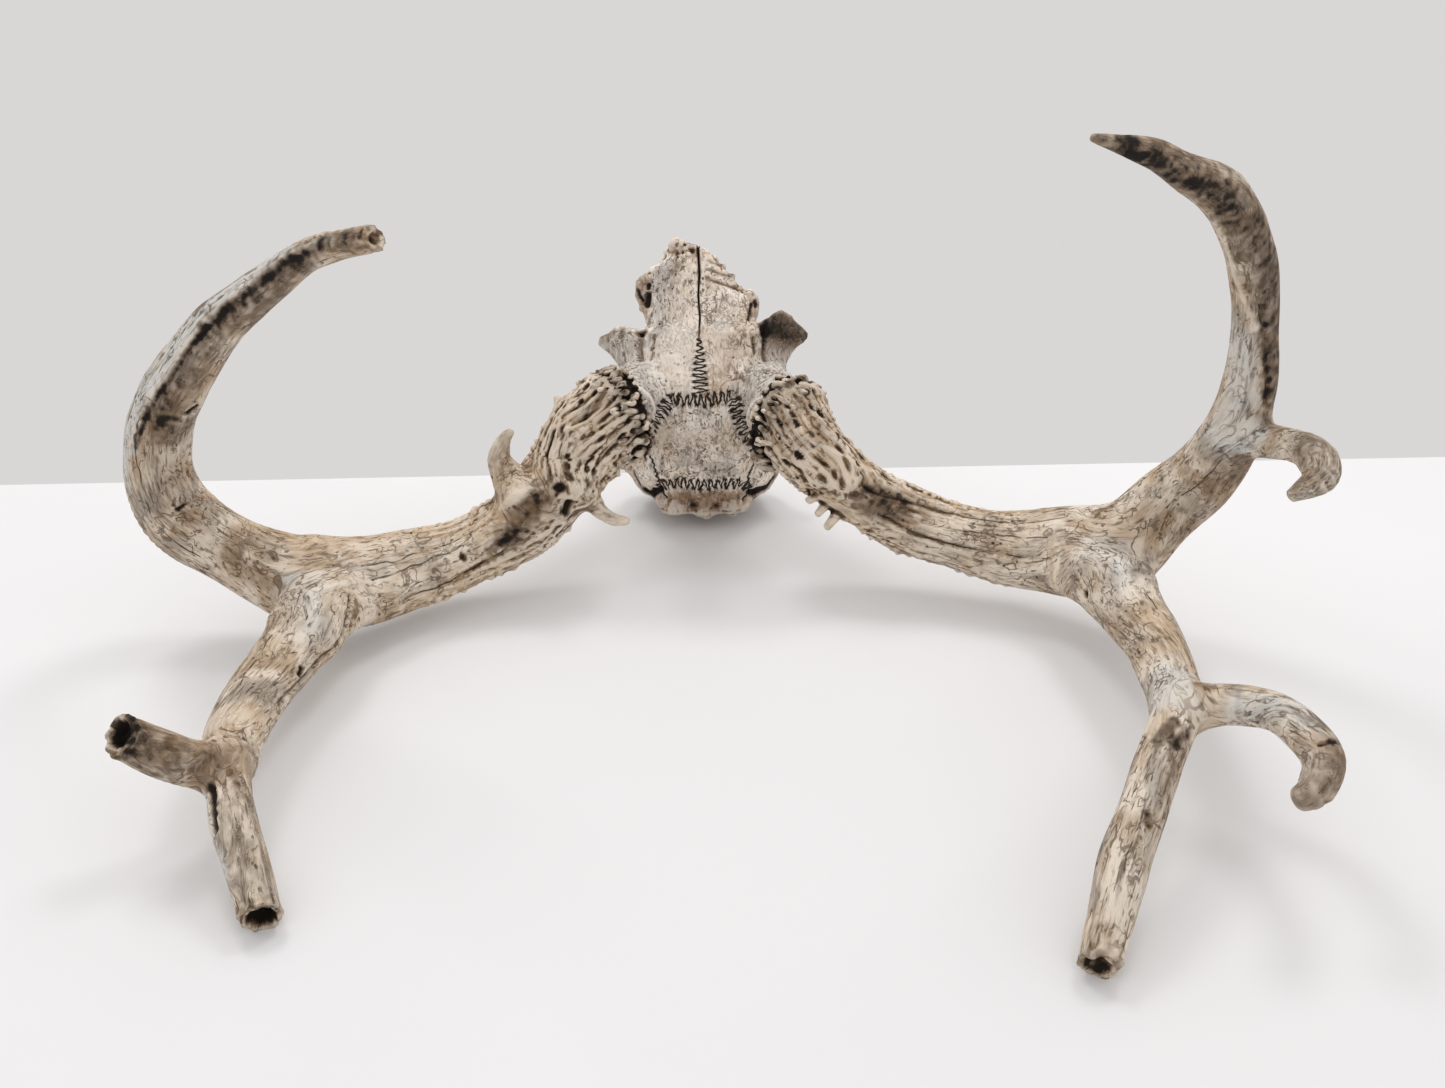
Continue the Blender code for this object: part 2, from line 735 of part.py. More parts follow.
def bone_name(centre):
    """Which skull bone a body is, from the middle of its box in the skull frame."""
    x, f = centre.x / MM, centre.y / MM
    if f > BREGMA[0]:
        return "frontal_left" if x < 0 else "frontal_right"
    if f < LAMBDA_F:
        return "occipital"
    if abs(x) < 10.0:
        return "parietal"
    return "temporal_left" if x < 0 else "temporal_right"


def split_bones(whole, parts, pose):
    """Make one object of every body that the suture cuts leave."""
    data = evaluated_mesh(whole)
    bones = []
    for group in (group for group in islands(data) if len(group) > SMALLEST_BONE):
        single = bmesh.new()
        corners = {v.index: v.co for face in group for v in face.verts}
        copies = {index: single.verts.new(corners[index]) for index in sorted(corners)}
        for face in sorted(group, key=lambda item: item.index):
            single.faces.new([copies[v.index] for v in face.verts])
        low = Vector([min(v.co[i] for v in single.verts) for i in range(3)])
        high = Vector([max(v.co[i] for v in single.verts) for i in range(3)])
        bone = link_mesh(bone_name((low + high) / 2), single, parts)
        bone.matrix_world = pose
        bones.append(bone)
    data.free()
    return bones


def skull(parts, cutters):
    """Model the skull whole, seat the burrs, then part it along its sutures."""
    pose = skull_matrix()
    pose.translation *= MM
    whole = braincase(cutters)
    forms = [frontal_plate(cutters)] + occipital_crest(cutters)
    for side in (-1, 1):
        forms += side_forms(side, cutters)
    for form in forms:
        boolean(whole, as_cutter(form), "UNION")
    opening = ellipsoid("cut_foramen_magnum", (0, -4, 20), (8.5, 16, 8.5), cutters)
    boolean(whole, as_cutter(opening), "DIFFERENCE")
    for cutter in suture_cutters(cutters):
        boolean(whole, as_cutter(cutter), "DIFFERENCE")
    as_cutter(whole)
    for item in [whole, opening] + forms + [o for o in cutters.objects if o.name.startswith("cut_")]:
        item.matrix_world = pose
    for side, label in ((-1, "left"), (1, "right")):
        seat = burr(f"seat_burr_{label}", side, cutters, GAP)
        boolean(whole, as_cutter(seat), "DIFFERENCE")
    bpy.context.view_layer.update()
    bones = split_bones(whole, parts, pose)
    bpy.context.view_layer.update()
    for bone in bones:
        if bone.name == "occipital":
            flatten_foot(bone)
    bpy.data.objects.remove(whole, do_unlink=True)


def paint(parts):
    """One material for each node, from the bone it belongs to."""
    looks = (
        ("frontal", PALE_BONE, 0.75),
        ("parietal", PALE_BONE, 0.75),
        ("temporal", GREY_BONE, 0.8),
        ("occipital", BONE, 0.8),
        ("burr", BURR_BROWN, 0.85),
        ("antler_left_brow", DARK_ANTLER, 0.8),
        ("antler", ANTLER, 0.8),
    )
    for obj in parts.objects:
        colour, roughness = next(look[1:] for look in looks if obj.name.startswith(look[0]))
        finish(obj, make_material(f"{obj.name}_surface", colour, roughness))


def main():
    """Build every node of the deer skull."""
    clear_scene()
    parts = make_collection("deer_skull")
    cutters = make_collection("cutters")
    skull(parts, cutters)
    burr("burr_left", -1, parts)
    burr("burr_right", 1, parts)
    left_antler(parts, cutters)
    right_antler(parts, cutters)
    paint(parts)


main()
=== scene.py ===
"""Weathered mule deer skull cap with both antlers, on a pale table.

The antlers, burrs and skull are grown the same way.  Listed paths carry oval
sections, the overlapping tubes are fused into one skin, and the skin is drawn onto the
smooth union of the sections.  Ridges, pearls, pits and sutures are then worked out for
every point of the skin from its place along and around its own branch.
Sizes are in millimetres unless a name says otherwise.  The antler paths are in the
world frame and the skull's in its own: x to the viewer's right, f forward, u up.
"""

import itertools
import math
from types import SimpleNamespace

import bpy
import numpy as np
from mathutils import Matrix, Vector


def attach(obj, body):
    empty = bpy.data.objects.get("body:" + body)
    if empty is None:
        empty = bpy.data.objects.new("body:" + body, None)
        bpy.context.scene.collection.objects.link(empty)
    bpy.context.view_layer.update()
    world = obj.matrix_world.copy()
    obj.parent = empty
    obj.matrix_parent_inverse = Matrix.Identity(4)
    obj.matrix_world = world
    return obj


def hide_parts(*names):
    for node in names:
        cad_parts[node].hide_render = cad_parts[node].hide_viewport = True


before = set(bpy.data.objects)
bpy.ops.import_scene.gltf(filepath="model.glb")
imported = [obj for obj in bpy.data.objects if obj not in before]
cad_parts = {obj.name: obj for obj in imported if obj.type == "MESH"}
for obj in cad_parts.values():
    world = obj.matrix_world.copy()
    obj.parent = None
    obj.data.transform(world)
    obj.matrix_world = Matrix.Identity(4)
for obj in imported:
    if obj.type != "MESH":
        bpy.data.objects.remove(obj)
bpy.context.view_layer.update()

bl_info = {
    "name": "Deer skull and antlers",
    "version": (1, 0, 0),
    "blender": (4, 5, 0),
    "location": "3D View > Sidebar > Deer Skull",
    "description": "Builds a weathered deer skull cap with pearled, forked antlers",
    "category": "Add Mesh",
}

MM = 0.001
FAR = 99.0                      # stands for any distance past the end of a line
CENTRING = np.array([2.2, -7.9, 0.0])       # puts the middle of the whole over the origin
UP = (0.0, 0.0, 1.0)
VIEWER = (0.0, -0.87, 0.5)      # the wide side of an antler section faces this way
STATION_STEP = 3.0              # along a path
TUBE_SIDES = 28
ROUNDED = 0.6                   # cap height over the end radius of a whole tine
BLUNT = 0.3
BROKEN = 0.12
BLEND = 5.0                     # reach of the soft joint between two branches
CUT_BLEND = 1.0                 # and of the soft edge where one is cut off
GRAIN_BLEND = 4.5               # and of the mixing of their grain
THINNEST = 0.4                  # half width of the thinnest section
SHORTEST_CAP = 0.8
LEAST_SLOPE = 0.02              # keeps distances finite in the middle of a bar
NEAR_REACH = 1.3                # up to here, narrowing of level sections counts
NEAR_FADE = 0.2                 # and it fades in over so much of the reach
STEP_SHARE = 0.9                # of the distance to the surface, in one round
MOST_STEP = 2.0                 # of that distance in one round
WEAR = 0.35                     # share of the smoothing that takes material away
TINY = 1e-9                     # keeps a division from failing

# Paths are (centre, half width, half depth), root first.
LEFT_BURR = (-44, 122, 90)
LEFT_FORK = (-190, 35, 34)
LEFT_REAR_FORK = (-194, -102, 30)
RIGHT_BURR = (46, 121, 90)
RIGHT_FORK = (209, 53, 42)
RIGHT_REAR_FORK = (205, -82, 46)
RIGHT_HOOK_FORK = (257, 44, 114)

LEFT_BEAM = (
    (LEFT_BURR, 23, 22),
    ((-59, 112, 79), 24, 22),
    ((-74, 103, 61), 21, 19),
    ((-95, 88, 41), 20, 18),
    ((-122, 77, 31), 18, 16),
    ((-141, 68, 28), 20, 16),
    ((-165, 51, 29), 23, 16),
    (LEFT_FORK, 27, 16.5),
)
LEFT_FRONT_TINE = (
    ((-172, 44, 30), 15, 9),
    (LEFT_FORK, 23.5, 14.5),
    ((-234, 51, 45), 18, 14),
    ((-259, 53, 64), 19, 15),
    ((-264, 52, 91), 17, 14),
    ((-255, 49, 121), 16, 13),
    ((-237, 45, 147), 14, 12),
    ((-215, 39, 172), 12, 10.5),
    ((-188, 31, 193), 9.4, 8.4),
    ((-164, 21, 210), 7.6, 7),
    ((-131, 2, 223), 5.8, 5.8),
)
LEFT_REAR_BEAM = (
    (LEFT_FORK, 20, 11),
    ((-187, 2, 33), 20, 14),
    ((-190, -17, 31), 16, 13),
    ((-196, -52, 30), 14.5, 12.5),
    ((-197, -80, 30), 13.6, 11.6),
    (LEFT_REAR_FORK, 12, 10.2),
)
LEFT_REAR_TINE_OUTER = (
    ((-195, -94, 27), 6, 5),
    (LEFT_REAR_FORK, 10, 8.6),
    ((-206, -109, 38), 10.5, 10),
    ((-218, -113, 48), 10, 10),
    ((-231, -115, 59), 8.5, 8.5),
)
LEFT_REAR_TINE_INNER = (
    ((-196, -93, 29), 6, 5),
    (LEFT_REAR_FORK, 10, 8.6),
    ((-185, -127, 26), 10, 10),
    ((-174, -148, 17), 9, 9),
    ((-165, -167, 6.9), 8.5, 8.5),
)
LEFT_WEB = (                    # fills the corner between the beam and the rear beam
    ((-158, 44, 29), 14, 10),
    ((-176, 26, 30), 16, 10.5),
    ((-186, -6, 31), 13, 12),
)
LEFT_BROW_TINE = (
    ((-93, 82, 58), 12, 10),
    ((-100, 91, 66), 9.6, 8),
    ((-104, 92, 77), 7, 6),
    ((-101, 92, 87), 4.8, 4.4),
    ((-97, 91, 92.5), 3, 3),
)
LEFT_PRONG = (
    ((-64, 95, 60), 11, 11),
    ((-57, 94, 50), 5.6, 5.6),
    ((-51, 91, 44.5), 4.0, 4.0),
    ((-45, 89, 42), 3.4, 3.4),
    ((-39, 88, 42), 2.6, 2.6),
)
LEFT_SPIKE = (
    ((-67, 112, 84), 6, 6),
    ((-74, 117, 96), 3, 3),
    ((-76, 118, 100), 1.5, 1.5),
)
RIGHT_BEAM = (
    (RIGHT_BURR, 22, 21),
    ((54, 108, 80), 20, 19),
    ((66, 102, 68), 18.5, 17.5),
    ((88, 98, 51), 17, 16),
    ((109, 92, 42), 18, 16),
    ((134, 83, 36), 17.5, 16),
    ((162, 74, 34), 20, 16),
    ((187, 65, 37), 24, 16.5),
    (RIGHT_FORK, 26.5, 16.5),
)
RIGHT_FRONT_TINE = (
    ((188, 63, 32), 14, 8),
    (RIGHT_FORK, 21.5, 13),
    ((231, 54, 67), 19.5, 14.5),
    ((247, 49, 90), 17.5, 14),
    ((255, 44, 115), 15.5, 13.5),
    ((256, 39, 140), 13, 12),
    ((253, 36, 165), 11, 10.5),
    ((247, 31, 190), 11, 10),
    ((235, 20, 216), 11, 10),
    ((217, 4, 239), 11, 9.5),
    ((193, -13, 254), 8, 7),
    ((174, -26, 265), 6.3, 5.3),
    ((147, -44, 275), 2, 2),
)
RIGHT_FRONT_HOOK = (
    ((255, 46, 112), 12, 11),
    ((266, 25, 119), 9, 8.5),
    ((269, 0, 128), 8, 8),
    ((268, -22, 132), 9, 9),
    ((263, -36, 131), 7.8, 7.8),
    ((252, -38, 124), 3.6, 3.6),
)
RIGHT_REAR_BEAM = (
    (RIGHT_FORK, 20, 11),
    ((206, 26, 42), 20, 14.5),
    ((206, 7, 41), 17, 14),
    ((209, -35, 43), 13.6, 12.2),
    (RIGHT_REAR_FORK, 13, 11.5),
)
RIGHT_REAR_HOOK = (
    ((207, -70, 45), 6.5, 6),
    (RIGHT_REAR_FORK, 10, 9),
    ((225, -85, 50), 9.7, 9.2),
    ((239, -97, 55), 8.8, 8.8),
    ((243, -119, 60), 8.3, 8.3),
    ((243, -137, 61), 8.2, 8.2),
    ((236, -149, 58), 7, 7),
    ((230, -151, 55), 5, 5),
)
RIGHT_REAR_TINE = (
    ((210, -66, 45), 7, 6.5),
    (RIGHT_REAR_FORK, 11, 9.8),
    ((189, -112, 42), 10, 10),
    ((178, -134, 35), 10.3, 10.3),
    ((167, -154, 27), 10.4, 10.4),
    ((160, -170, 19), 9.5, 9.5),
    ((151, -190, 6.3), 8, 8),
)
RIGHT_WEB = (
    ((178, 61, 36), 14, 10),
    ((194, 42, 38), 16, 10.5),
    ((203, 12, 40), 13, 12),
)
RIGHT_PRONG_UPPER = (
    ((70, 98, 59), 5, 5),
    ((63, 92, 56.5), 3.3, 3.3),
    ((57, 86, 55), 2.4, 2.4),
)
RIGHT_PRONG_MIDDLE = (
    ((74, 97, 55), 5, 5),
    ((67, 91, 50.5), 3.2, 3.2),
    ((62, 84.5, 48), 2.3, 2.3),
)
RIGHT_PRONG_LOWER = (
    ((78, 96, 51), 6, 6),
    ((72, 89, 44.5), 3.6, 3.6),
    ((67, 82.5, 41.5), 2.6, 2.6),
)


# ---------------------------------------------------------------- number fields

def unit(vectors):
    """Each row divided by its length."""
    return vectors / np.maximum(np.linalg.norm(vectors, axis=-1, keepdims=True), TINY)


def soft_step(low, high, value):
    """0 below low, 1 above high, and an S-curve 3t^2 - 2t^3 between."""
    t = np.clip((value - low) / (high - low), 0.0, 1.0)
    return t * t * (3.0 - 2.0 * t)


def scatter(cells, salt):
    """A random number from 0 to 1 for each integer cell: its three indices, hashed with a
    salt that is different for each pattern."""
    x, y, z = (cells[:, i].astype(np.int64).astype(np.uint32) for i in range(3))
    mixed = x * np.uint32(73856093) ^ y * np.uint32(19349663) ^ z * np.uint32(83492791)
    mixed = mixed ^ np.uint32((salt * 2654435761) % 2**32)
    mixed = (mixed ^ (mixed >> np.uint32(13))) * np.uint32(1274126177)
    mixed = (mixed ^ (mixed >> np.uint32(16))) * np.uint32(2246822519)
    mixed = mixed ^ (mixed >> np.uint32(15))
    return mixed.astype(float) / 2.0**32


def noise(points, size, salt=0):
    """Smooth noise from -1 to 1: random values at grid corners, blended by a quintic."""
    place = points / np.asarray(size, float)
    cell = np.floor(place)
    t = place - cell
    t = t ** 3 * (t * (6.0 * t - 15.0) + 10.0)
    total = np.zeros(len(points))
    for corner in itertools.product((0, 1), repeat=3):
        share = np.prod(np.where(np.array(corner) == 1, t, 1.0 - t), axis=1)
        total += share * scatter(cell + corner, salt)
    return 2.0 * total - 1.0


def layered(points, size, salt=0, octaves=3):
    """Noise plus copies of itself at half the size and half the height."""
    size = np.asarray(size, float)
    return sum(noise(points, size / 2**k, salt + k) / 2**k for k in range(octaves)) / 1.5


def domes(points, size, salt, fill):
    """Round bumps, at most one to a grid cell: the height (1 - (r/R)^2)^2 of the tallest."""
    place = points / np.asarray(size, float)
    cell = np.floor(place)
    best = np.zeros(len(points))
    for corner in itertools.product((-1, 0, 1), repeat=3):
        near = cell + corner
        middle = near + 0.25 + 0.5 * np.stack([scatter(near, salt + i) for i in (1, 2, 3)], axis=1)
        radius = 0.32 + 0.38 * scatter(near, salt + 4)
        apart = np.sum((place - middle) ** 2, axis=1) / radius ** 2
        shown = scatter(near, salt + 5) < fill
        best = np.maximum(best, np.where(shown, radius * np.clip(1.0 - apart, 0.0, 1.0) ** 2, 0.0))
    return best / 0.7


# ---------------------------------------------------------------- meshes

def linked(name, points, faces):
    """A mesh object of points in millimetres, put into the scene."""
    mesh = bpy.data.meshes.new(name)
    mesh.from_pydata(np.asarray(points, float) * MM, [], faces)
    made = bpy.data.objects.new(name, mesh)
    bpy.context.scene.collection.objects.link(made)
    return made


def rows_of(items, field, width, kind=float):
    """One field of all the vertices, edges or faces of a mesh, a row for each."""
    values = np.empty(len(items) * width, kind)
    items.foreach_get(field, values)
    return values.reshape(-1, width)


def store(mesh, name, values):
    """Keep one number, or three, for each point under a name that the material reads."""
    kind, field = ("FLOAT", "value") if values.ndim == 1 else ("FLOAT_VECTOR", "vector")
    layer = mesh.attributes.new(name, kind, "POINT")
    layer.data.foreach_set(field, values.astype(np.float32).ravel())


# ---------------------------------------------------------------- bars and their union

def smooth_line(knots, step):
    """Catmull-Rom curve through the knots: the cubic whose slope at each knot is half the
    vector between its neighbours, sampled about every step of its first three columns."""
    ends = np.vstack([knots[:1], knots, knots[-1:]])
    rows = []
    for before, start, end, after in zip(ends, ends[1:], ends[2:], ends[3:]):
        count = max(1, round(float(np.linalg.norm(end[:3] - start[:3])) / step))
        t = (np.arange(count) / count)[:, None]
        slope = end - before
        bend = 2 * before - 5 * start + 4 * end - after
        twist = 3 * start - before - 3 * end + after
        rows.append(0.5 * (2 * start + slope * t + bend * t ** 2 + twist * t ** 3))
    return np.vstack(rows + [knots[-1:]])


class Bar:
    """A branch or bone: an oval carried along a smooth path.

    At arc length s the section is |a/wide|^power + |d/deep|^power = 1, with a measured
    across the path and d towards `faces`.  Sections stand square to the path, or all of
    them square to `level` where one is given.  The path is moved by `shift`, and its end
    is rounded to the height `cap` times the end's radius.  The grain counts from `start`.
    A bar with a `lead` starts inside its parent, and its arc length counts from its second
    knot.  `crown` is the fall of a roof over x squared, and `soft` scales the reach of the
    joints with other bars.
    """

    def __init__(
        self, path, faces=VIEWER, shift=CENTRING, cap=ROUNDED, power=2.0,
        start=0.0, crown=0.0, level=None, lead=False, soft=1.0,
    ):
        knots = np.array([(*centre, wide, deep) for centre, wide, deep in path], float)
        line = smooth_line(knots, STATION_STEP)
        self.centre = line[:, :3] + shift
        self.size = np.maximum(line[:, 3:], THINNEST)
        self.level = level
        if level is None:
            steps = np.linalg.norm(np.diff(self.centre, axis=0), axis=1)
            self.s = np.concatenate([[0.0], np.cumsum(steps)])
            self.forward = unit(np.gradient(self.centre, self.s, axis=0))
        else:
            self.s = (self.centre - self.centre[0]) @ np.array(level)
            self.forward = np.tile(np.array(level, float), (len(line), 1))
        if lead:
            self.s -= self.s[np.argmin(np.linalg.norm(line[:, :3] - knots[1, :3], axis=1))]
        self.across = unit(np.cross(self.forward, faces))
        self.depth = np.cross(self.across, self.forward)
        self.cap = cap
        self.power = power
        self.start = start
        self.crown = crown
        self.soft = soft

    @property
    def length(self):
        """Arc length of the whole path."""
        return float(self.s[-1])

    def bent(self, points, sign=1.0):
        """Points moved up by the crown's parabola, so that a curved roof is measured flat."""
        moved = points.copy()
        moved[:, 2] += sign * self.crown * points[:, 0] ** 2
        return moved

    def along(self, s, values):
        """Rows of values at arc length s."""
        return np.stack([np.interp(s, self.s, column) for column in values.T], axis=1)

    def locate(self, points):
        """Arc length of the nearest place on the path, and the offset from it across,
        towards the viewer and forward."""
        points = self.bent(points)
        if self.level is None:
            square = np.sum(self.centre ** 2, axis=1).astype(np.float32)
            apart = square[None] - 2.0 * points.astype(np.float32) @ self.centre.T.astype(np.float32)
            near = np.argmin(apart, axis=1)
            slide = np.sum((points - self.centre[near]) * self.forward[near], axis=1)
            s = np.clip(self.s[near] + slide, self.s[0], self.length)
        else:
            s = np.clip((points - self.centre[0]) @ self.forward[0], 0.0, self.length)
        offset = points - self.along(s, self.centre)
        axes = [unit(self.along(s, values)) for values in (self.across, self.depth, self.forward)]
        return s, np.stack([np.sum(offset * axis, axis=1) for axis in axes], axis=1)

    def reach(self, points):
        """How far out points are: 1 on the surface, in proportion to the section elsewhere.
        Also the slope of this across the section, the arc length and the offset."""
        s, offset = self.locate(points)
        size = self.along(s, self.size)
        ends = np.maximum(self.cap * size.min(axis=1, keepdims=True), SHORTEST_CAP)
        axes = np.hstack([size, ends])
        share = np.abs(offset) / axes
        reach = np.maximum(np.sum(share ** self.power, axis=1) ** (1.0 / self.power), 1e-3)
        steep = share ** (self.power - 1.0) / axes
        return reach, np.sqrt(np.sum(steep ** 2, axis=1)) * reach ** (1.0 - self.power), s, offset

    def gap(self, points):
        """Distance to the surface, negative inside: (reach - 1) over the slope of reach.
        Level sections can narrow fast, so near them it counts the change along the path."""
        reach, slope, s, offset = self.reach(points)
        if self.level is not None:
            half_step = 0.5 * self.forward[0]
            narrowing = self.reach(points + half_step)[0] - self.reach(points - half_step)[0]
            slope = np.hypot(slope, narrowing * np.clip((NEAR_REACH - reach) / NEAR_FADE, 0.0, 1.0))
        return (reach - 1.0) / np.maximum(slope, LEAST_SLOPE), s, offset

    def tube(self, sides=TUBE_SIDES):
        """Vertices and faces of the closed tube: one ring a station, a fan at each end."""
        turn = 2.0 * math.pi * np.arange(sides) / sides
        oval = [np.sign(f) * np.abs(f) ** (2.0 / self.power) for f in (np.cos(turn), np.sin(turn))]
        rings = (
            self.centre[:, None]
            + self.across[:, None] * (self.size[:, :1] * oval[0])[..., None]
            + self.depth[:, None] * (self.size[:, 1:] * oval[1])[..., None]
        )
        reach = self.cap * self.size[-1].min() * self.forward[-1]
        points = np.vstack([rings.reshape(-1, 3), self.centre[:1], self.centre[-1:] + reach])
        count = len(self.centre)
        k = np.arange(sides)
        j = (k + 1) % sides
        row = sides * np.arange(count - 1)[:, None]
        quads = np.stack([row + j, row + k, row + sides + k, row + sides + j], axis=-1).reshape(-1, 4)
        last = sides * (count - 1)
        start_fan = np.stack([k, j, np.full(sides, sides * count)], axis=1)
        end_fan = np.stack([last + j, last + k, np.full(sides, sides * count + 1)], axis=1)
        return self.bent(points, -1.0), quads.tolist() + start_fan.tolist() + end_fan.tolist()


def merge(first, second, reach):
    """Smooth minimum: the smaller value, less h^2 * reach / 4 where h = 1 - |difference| / reach."""
    h = np.clip(1.0 - np.abs(first - second) / reach, 0.0, 1.0)
    return np.minimum(first, second) - 0.25 * reach * h * h


def union_gap(bars, points, reach=BLEND):
    """Distance to the smooth union of all bars."""
    total = bars[0].gap(points)[0]
    for bar in bars[1:]:
        total = merge(total, bar.gap(points)[0], reach * bar.soft)
    return total


# ---------------------------------------------------------------- skins

class Skin:
    """One closed mesh that is fused from bars and then carved in whole arrays."""

    def __init__(self, name, bars, voxel, cuts=()):
        points = []
        faces = []
        total = 0
        for bar in bars:
            verts, polygons = bar.tube()
            points.append(verts)
            faces += [[total + i for i in polygon] for polygon in polygons]
            total += len(verts)
        self.object = linked(name, np.vstack(points), faces)
        self.mould("REMESH", mode="VOXEL", voxel_size=voxel * MM)
        for number, bar in enumerate(cuts):
            cutter = linked(f"{name}_cut_{number}", *bar.tube())
            self.mould("BOOLEAN", operation="DIFFERENCE", solver="EXACT", object=cutter)
            bpy.data.objects.remove(cutter)
        if cuts:
            self.mould("REMESH", mode="VOXEL", voxel_size=voxel * MM)
        self.mesh = self.object.data
        self.mesh.name = name
        self.points = rows_of(self.mesh.vertices, "co", 3) / MM
        self.edges = rows_of(self.mesh.edges, "vertices", 2, int)
        self.degree = np.bincount(self.edges.ravel(), minlength=len(self.points))

    def mould(self, kind, **settings):
        """Apply one modifier to the mesh."""
        modifier = self.object.modifiers.new(kind.lower(), kind)
        for word, value in settings.items():
            setattr(modifier, word, value)
        graph = bpy.context.evaluated_depsgraph_get()
        mesh = bpy.data.meshes.new_from_object(self.object.evaluated_get(graph), depsgraph=graph)
        self.object.modifiers.clear()
        old = self.object.data
        self.object.data = mesh
        bpy.data.meshes.remove(old)

    def write(self):
        """Put the points into the mesh."""
        self.mesh.vertices.foreach_set("co", (self.points * MM).astype(np.float32).ravel())
        self.mesh.update()

    def normals(self):
        """Outward direction at every point."""
        self.write()
        return rows_of(self.mesh.vertex_normals, "vector", 3, np.float32).astype(float)

    def around(self, values):
        """The mean of each point's neighbours."""
        a, b = self.edges.T
        count = len(self.points)
        sums = [
            np.bincount(a, column[b], count) + np.bincount(b, column[a], count)
            for column in values.reshape(count, -1).T
        ]
        return (np.stack(sums, axis=1) / self.degree[:, None]).reshape(values.shape)

    def relax(self, values, times):
        """Values averaged with their neighbours a number of times."""
        for _ in range(times):
            values = 0.5 * (values + self.around(values))
        return values

    def draw_onto(self, distance, rounds=4):
        """Even out the voxel steps and slide every point along its normal to distance 0."""
        self.points = self.relax(self.points, 2)
        for _ in range(rounds):
            step = np.clip(distance(self.points), -MOST_STEP, MOST_STEP)
            self.points = self.points - STEP_SHARE * step[:, None] * self.normals()

    def soften(self, centre, reach, times):
        """Fill the creases about a place, and wear its humps down a little, less and less
        out to a reach from it."""
        away = np.linalg.norm(self.points - centre, axis=1)
        share = 1.0 - soft_step(0.5 * reach, reach, away)
        step = self.relax(self.points, times) - self.points
        inward = np.sum(step * self.normals(), axis=1) < 0.0
        share = share * np.where(inward, WEAR, 1.0)
        self.points = self.points + share[:, None] * step

    def hollows(self, times):
        """How far each point lies below the mean of its surroundings, in millimetres."""
        return np.sum((self.relax(self.points, times) - self.points) * self.normals(), axis=1)

    def cavity(self, scales):
        """Sum of the hollows at each (smoothings, depth), where that depth counts as 1."""
        return sum(self.hollows(times) / depth for times, depth in scales)

    def push(self, height):
        """Raise every point along its normal."""
        self.points = self.points + height[:, None] * self.normals()

    def keep(self, name, values):
        """Store values for the material."""
        store(self.mesh, name, values)

    def done(self, material, slot, *nodes):
        """Shade, paint and tie the finished piece to the frame."""
        self.write()
        self.mesh.shade_smooth()
        self.mesh.materials.clear()
        self.mesh.materials.append(material)
        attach(self.object, "root")
        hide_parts(*nodes)
        return self.object


def grown(bars, points):
    """Grain and character of a point on a branching bone.

    Each branch has the weight e^(-gap / GRAIN_BLEND), and the square roots of the weights
    mix their grain.  Returns the weights, each branch's (s, offset), and the mixed grain
    (across, depth, distance from the root).
    """
    found = [bar.gap(points) for bar in bars]
    weights = np.stack([np.exp(-np.clip(gap, 0.0, 60.0) / GRAIN_BLEND) for gap, _, _ in found], axis=1)
    weights = weights / weights.sum(axis=1, keepdims=True)
    shares = np.sqrt(weights)
    shares = shares / shares.sum(axis=1, keepdims=True)
    grain = np.zeros((len(points), 3))
    for k, (bar, (_, s, offset)) in enumerate(zip(bars, found)):
        along = bar.start + s + offset[:, 2]
        grain += shares[:, k:k + 1] * np.stack([offset[:, 0], offset[:, 1], along], axis=1)
    return weights, [(s, offset) for _, s, offset in found], grain


def strength(away, width, hardness):
    """e^(-(away / width)^hardness): 1 on the middle line of a mark, 0 outside it."""
    return np.exp(-np.minimum((away / width) ** hardness, 60.0))


def away_from_route(points, route):
    """Distance of points to a line of straight stretches, in any number of dimensions."""
    best = np.full(len(points), np.inf)
    route = [np.array(place, float) for place in route]
    for start, end in zip(route, route[1:] or route):
        stretch = end - start
        share = np.clip((points - start) @ stretch / max(float(stretch @ stretch), TINY), 0.0, 1.0)
        best = np.minimum(best, np.linalg.norm(points - start - share[:, None] * stretch, axis=1))
    return best


# ---------------------------------------------------------------- what an antler carries

# A place on a branch is the arc length along it and the turn round it: 0 degrees is one
# edge, 90 faces the viewer, 180 is the other edge.  These routes are marked and cracked.
LEFT_BEAM_FURROW = ((91, 120), (114, 128), (140, 133), (168, 126))
LEFT_BEAM_UPPER_LINE = ((96, 68), (151, 76), (185, 72))
LEFT_BEAM_MIDDLE_LINE = ((110, 84), (160, 92), (188, 88))
LEFT_REAR_FURROW = ((18, 166), (40, 172), (65, 165), (95, 160))
RIGHT_BEAM_FURROW = ((56, 100), (90, 116), (122, 129), (151, 131), (176, 140))
RIGHT_BEAM_UPPER_LINE = ((75, 71), (103, 68), (139, 78), (170, 80))
RIGHT_FRONT_FURROW = ((112, 66), (125, 76), (138, 86), (152, 95), (166, 112))
RIGHT_HOOK_FURROW = ((76, 132), (78, 90), (80, 50))

SOLID = 1.2                     # a darkness from which a mark is an unbroken black
PATCH = 2.8                     # sizes of the noises that break a paler mark into patches
WIDE_PATCH = 8.0
FRAY = 2.4                      # and of the finer one that frays the outlines of all
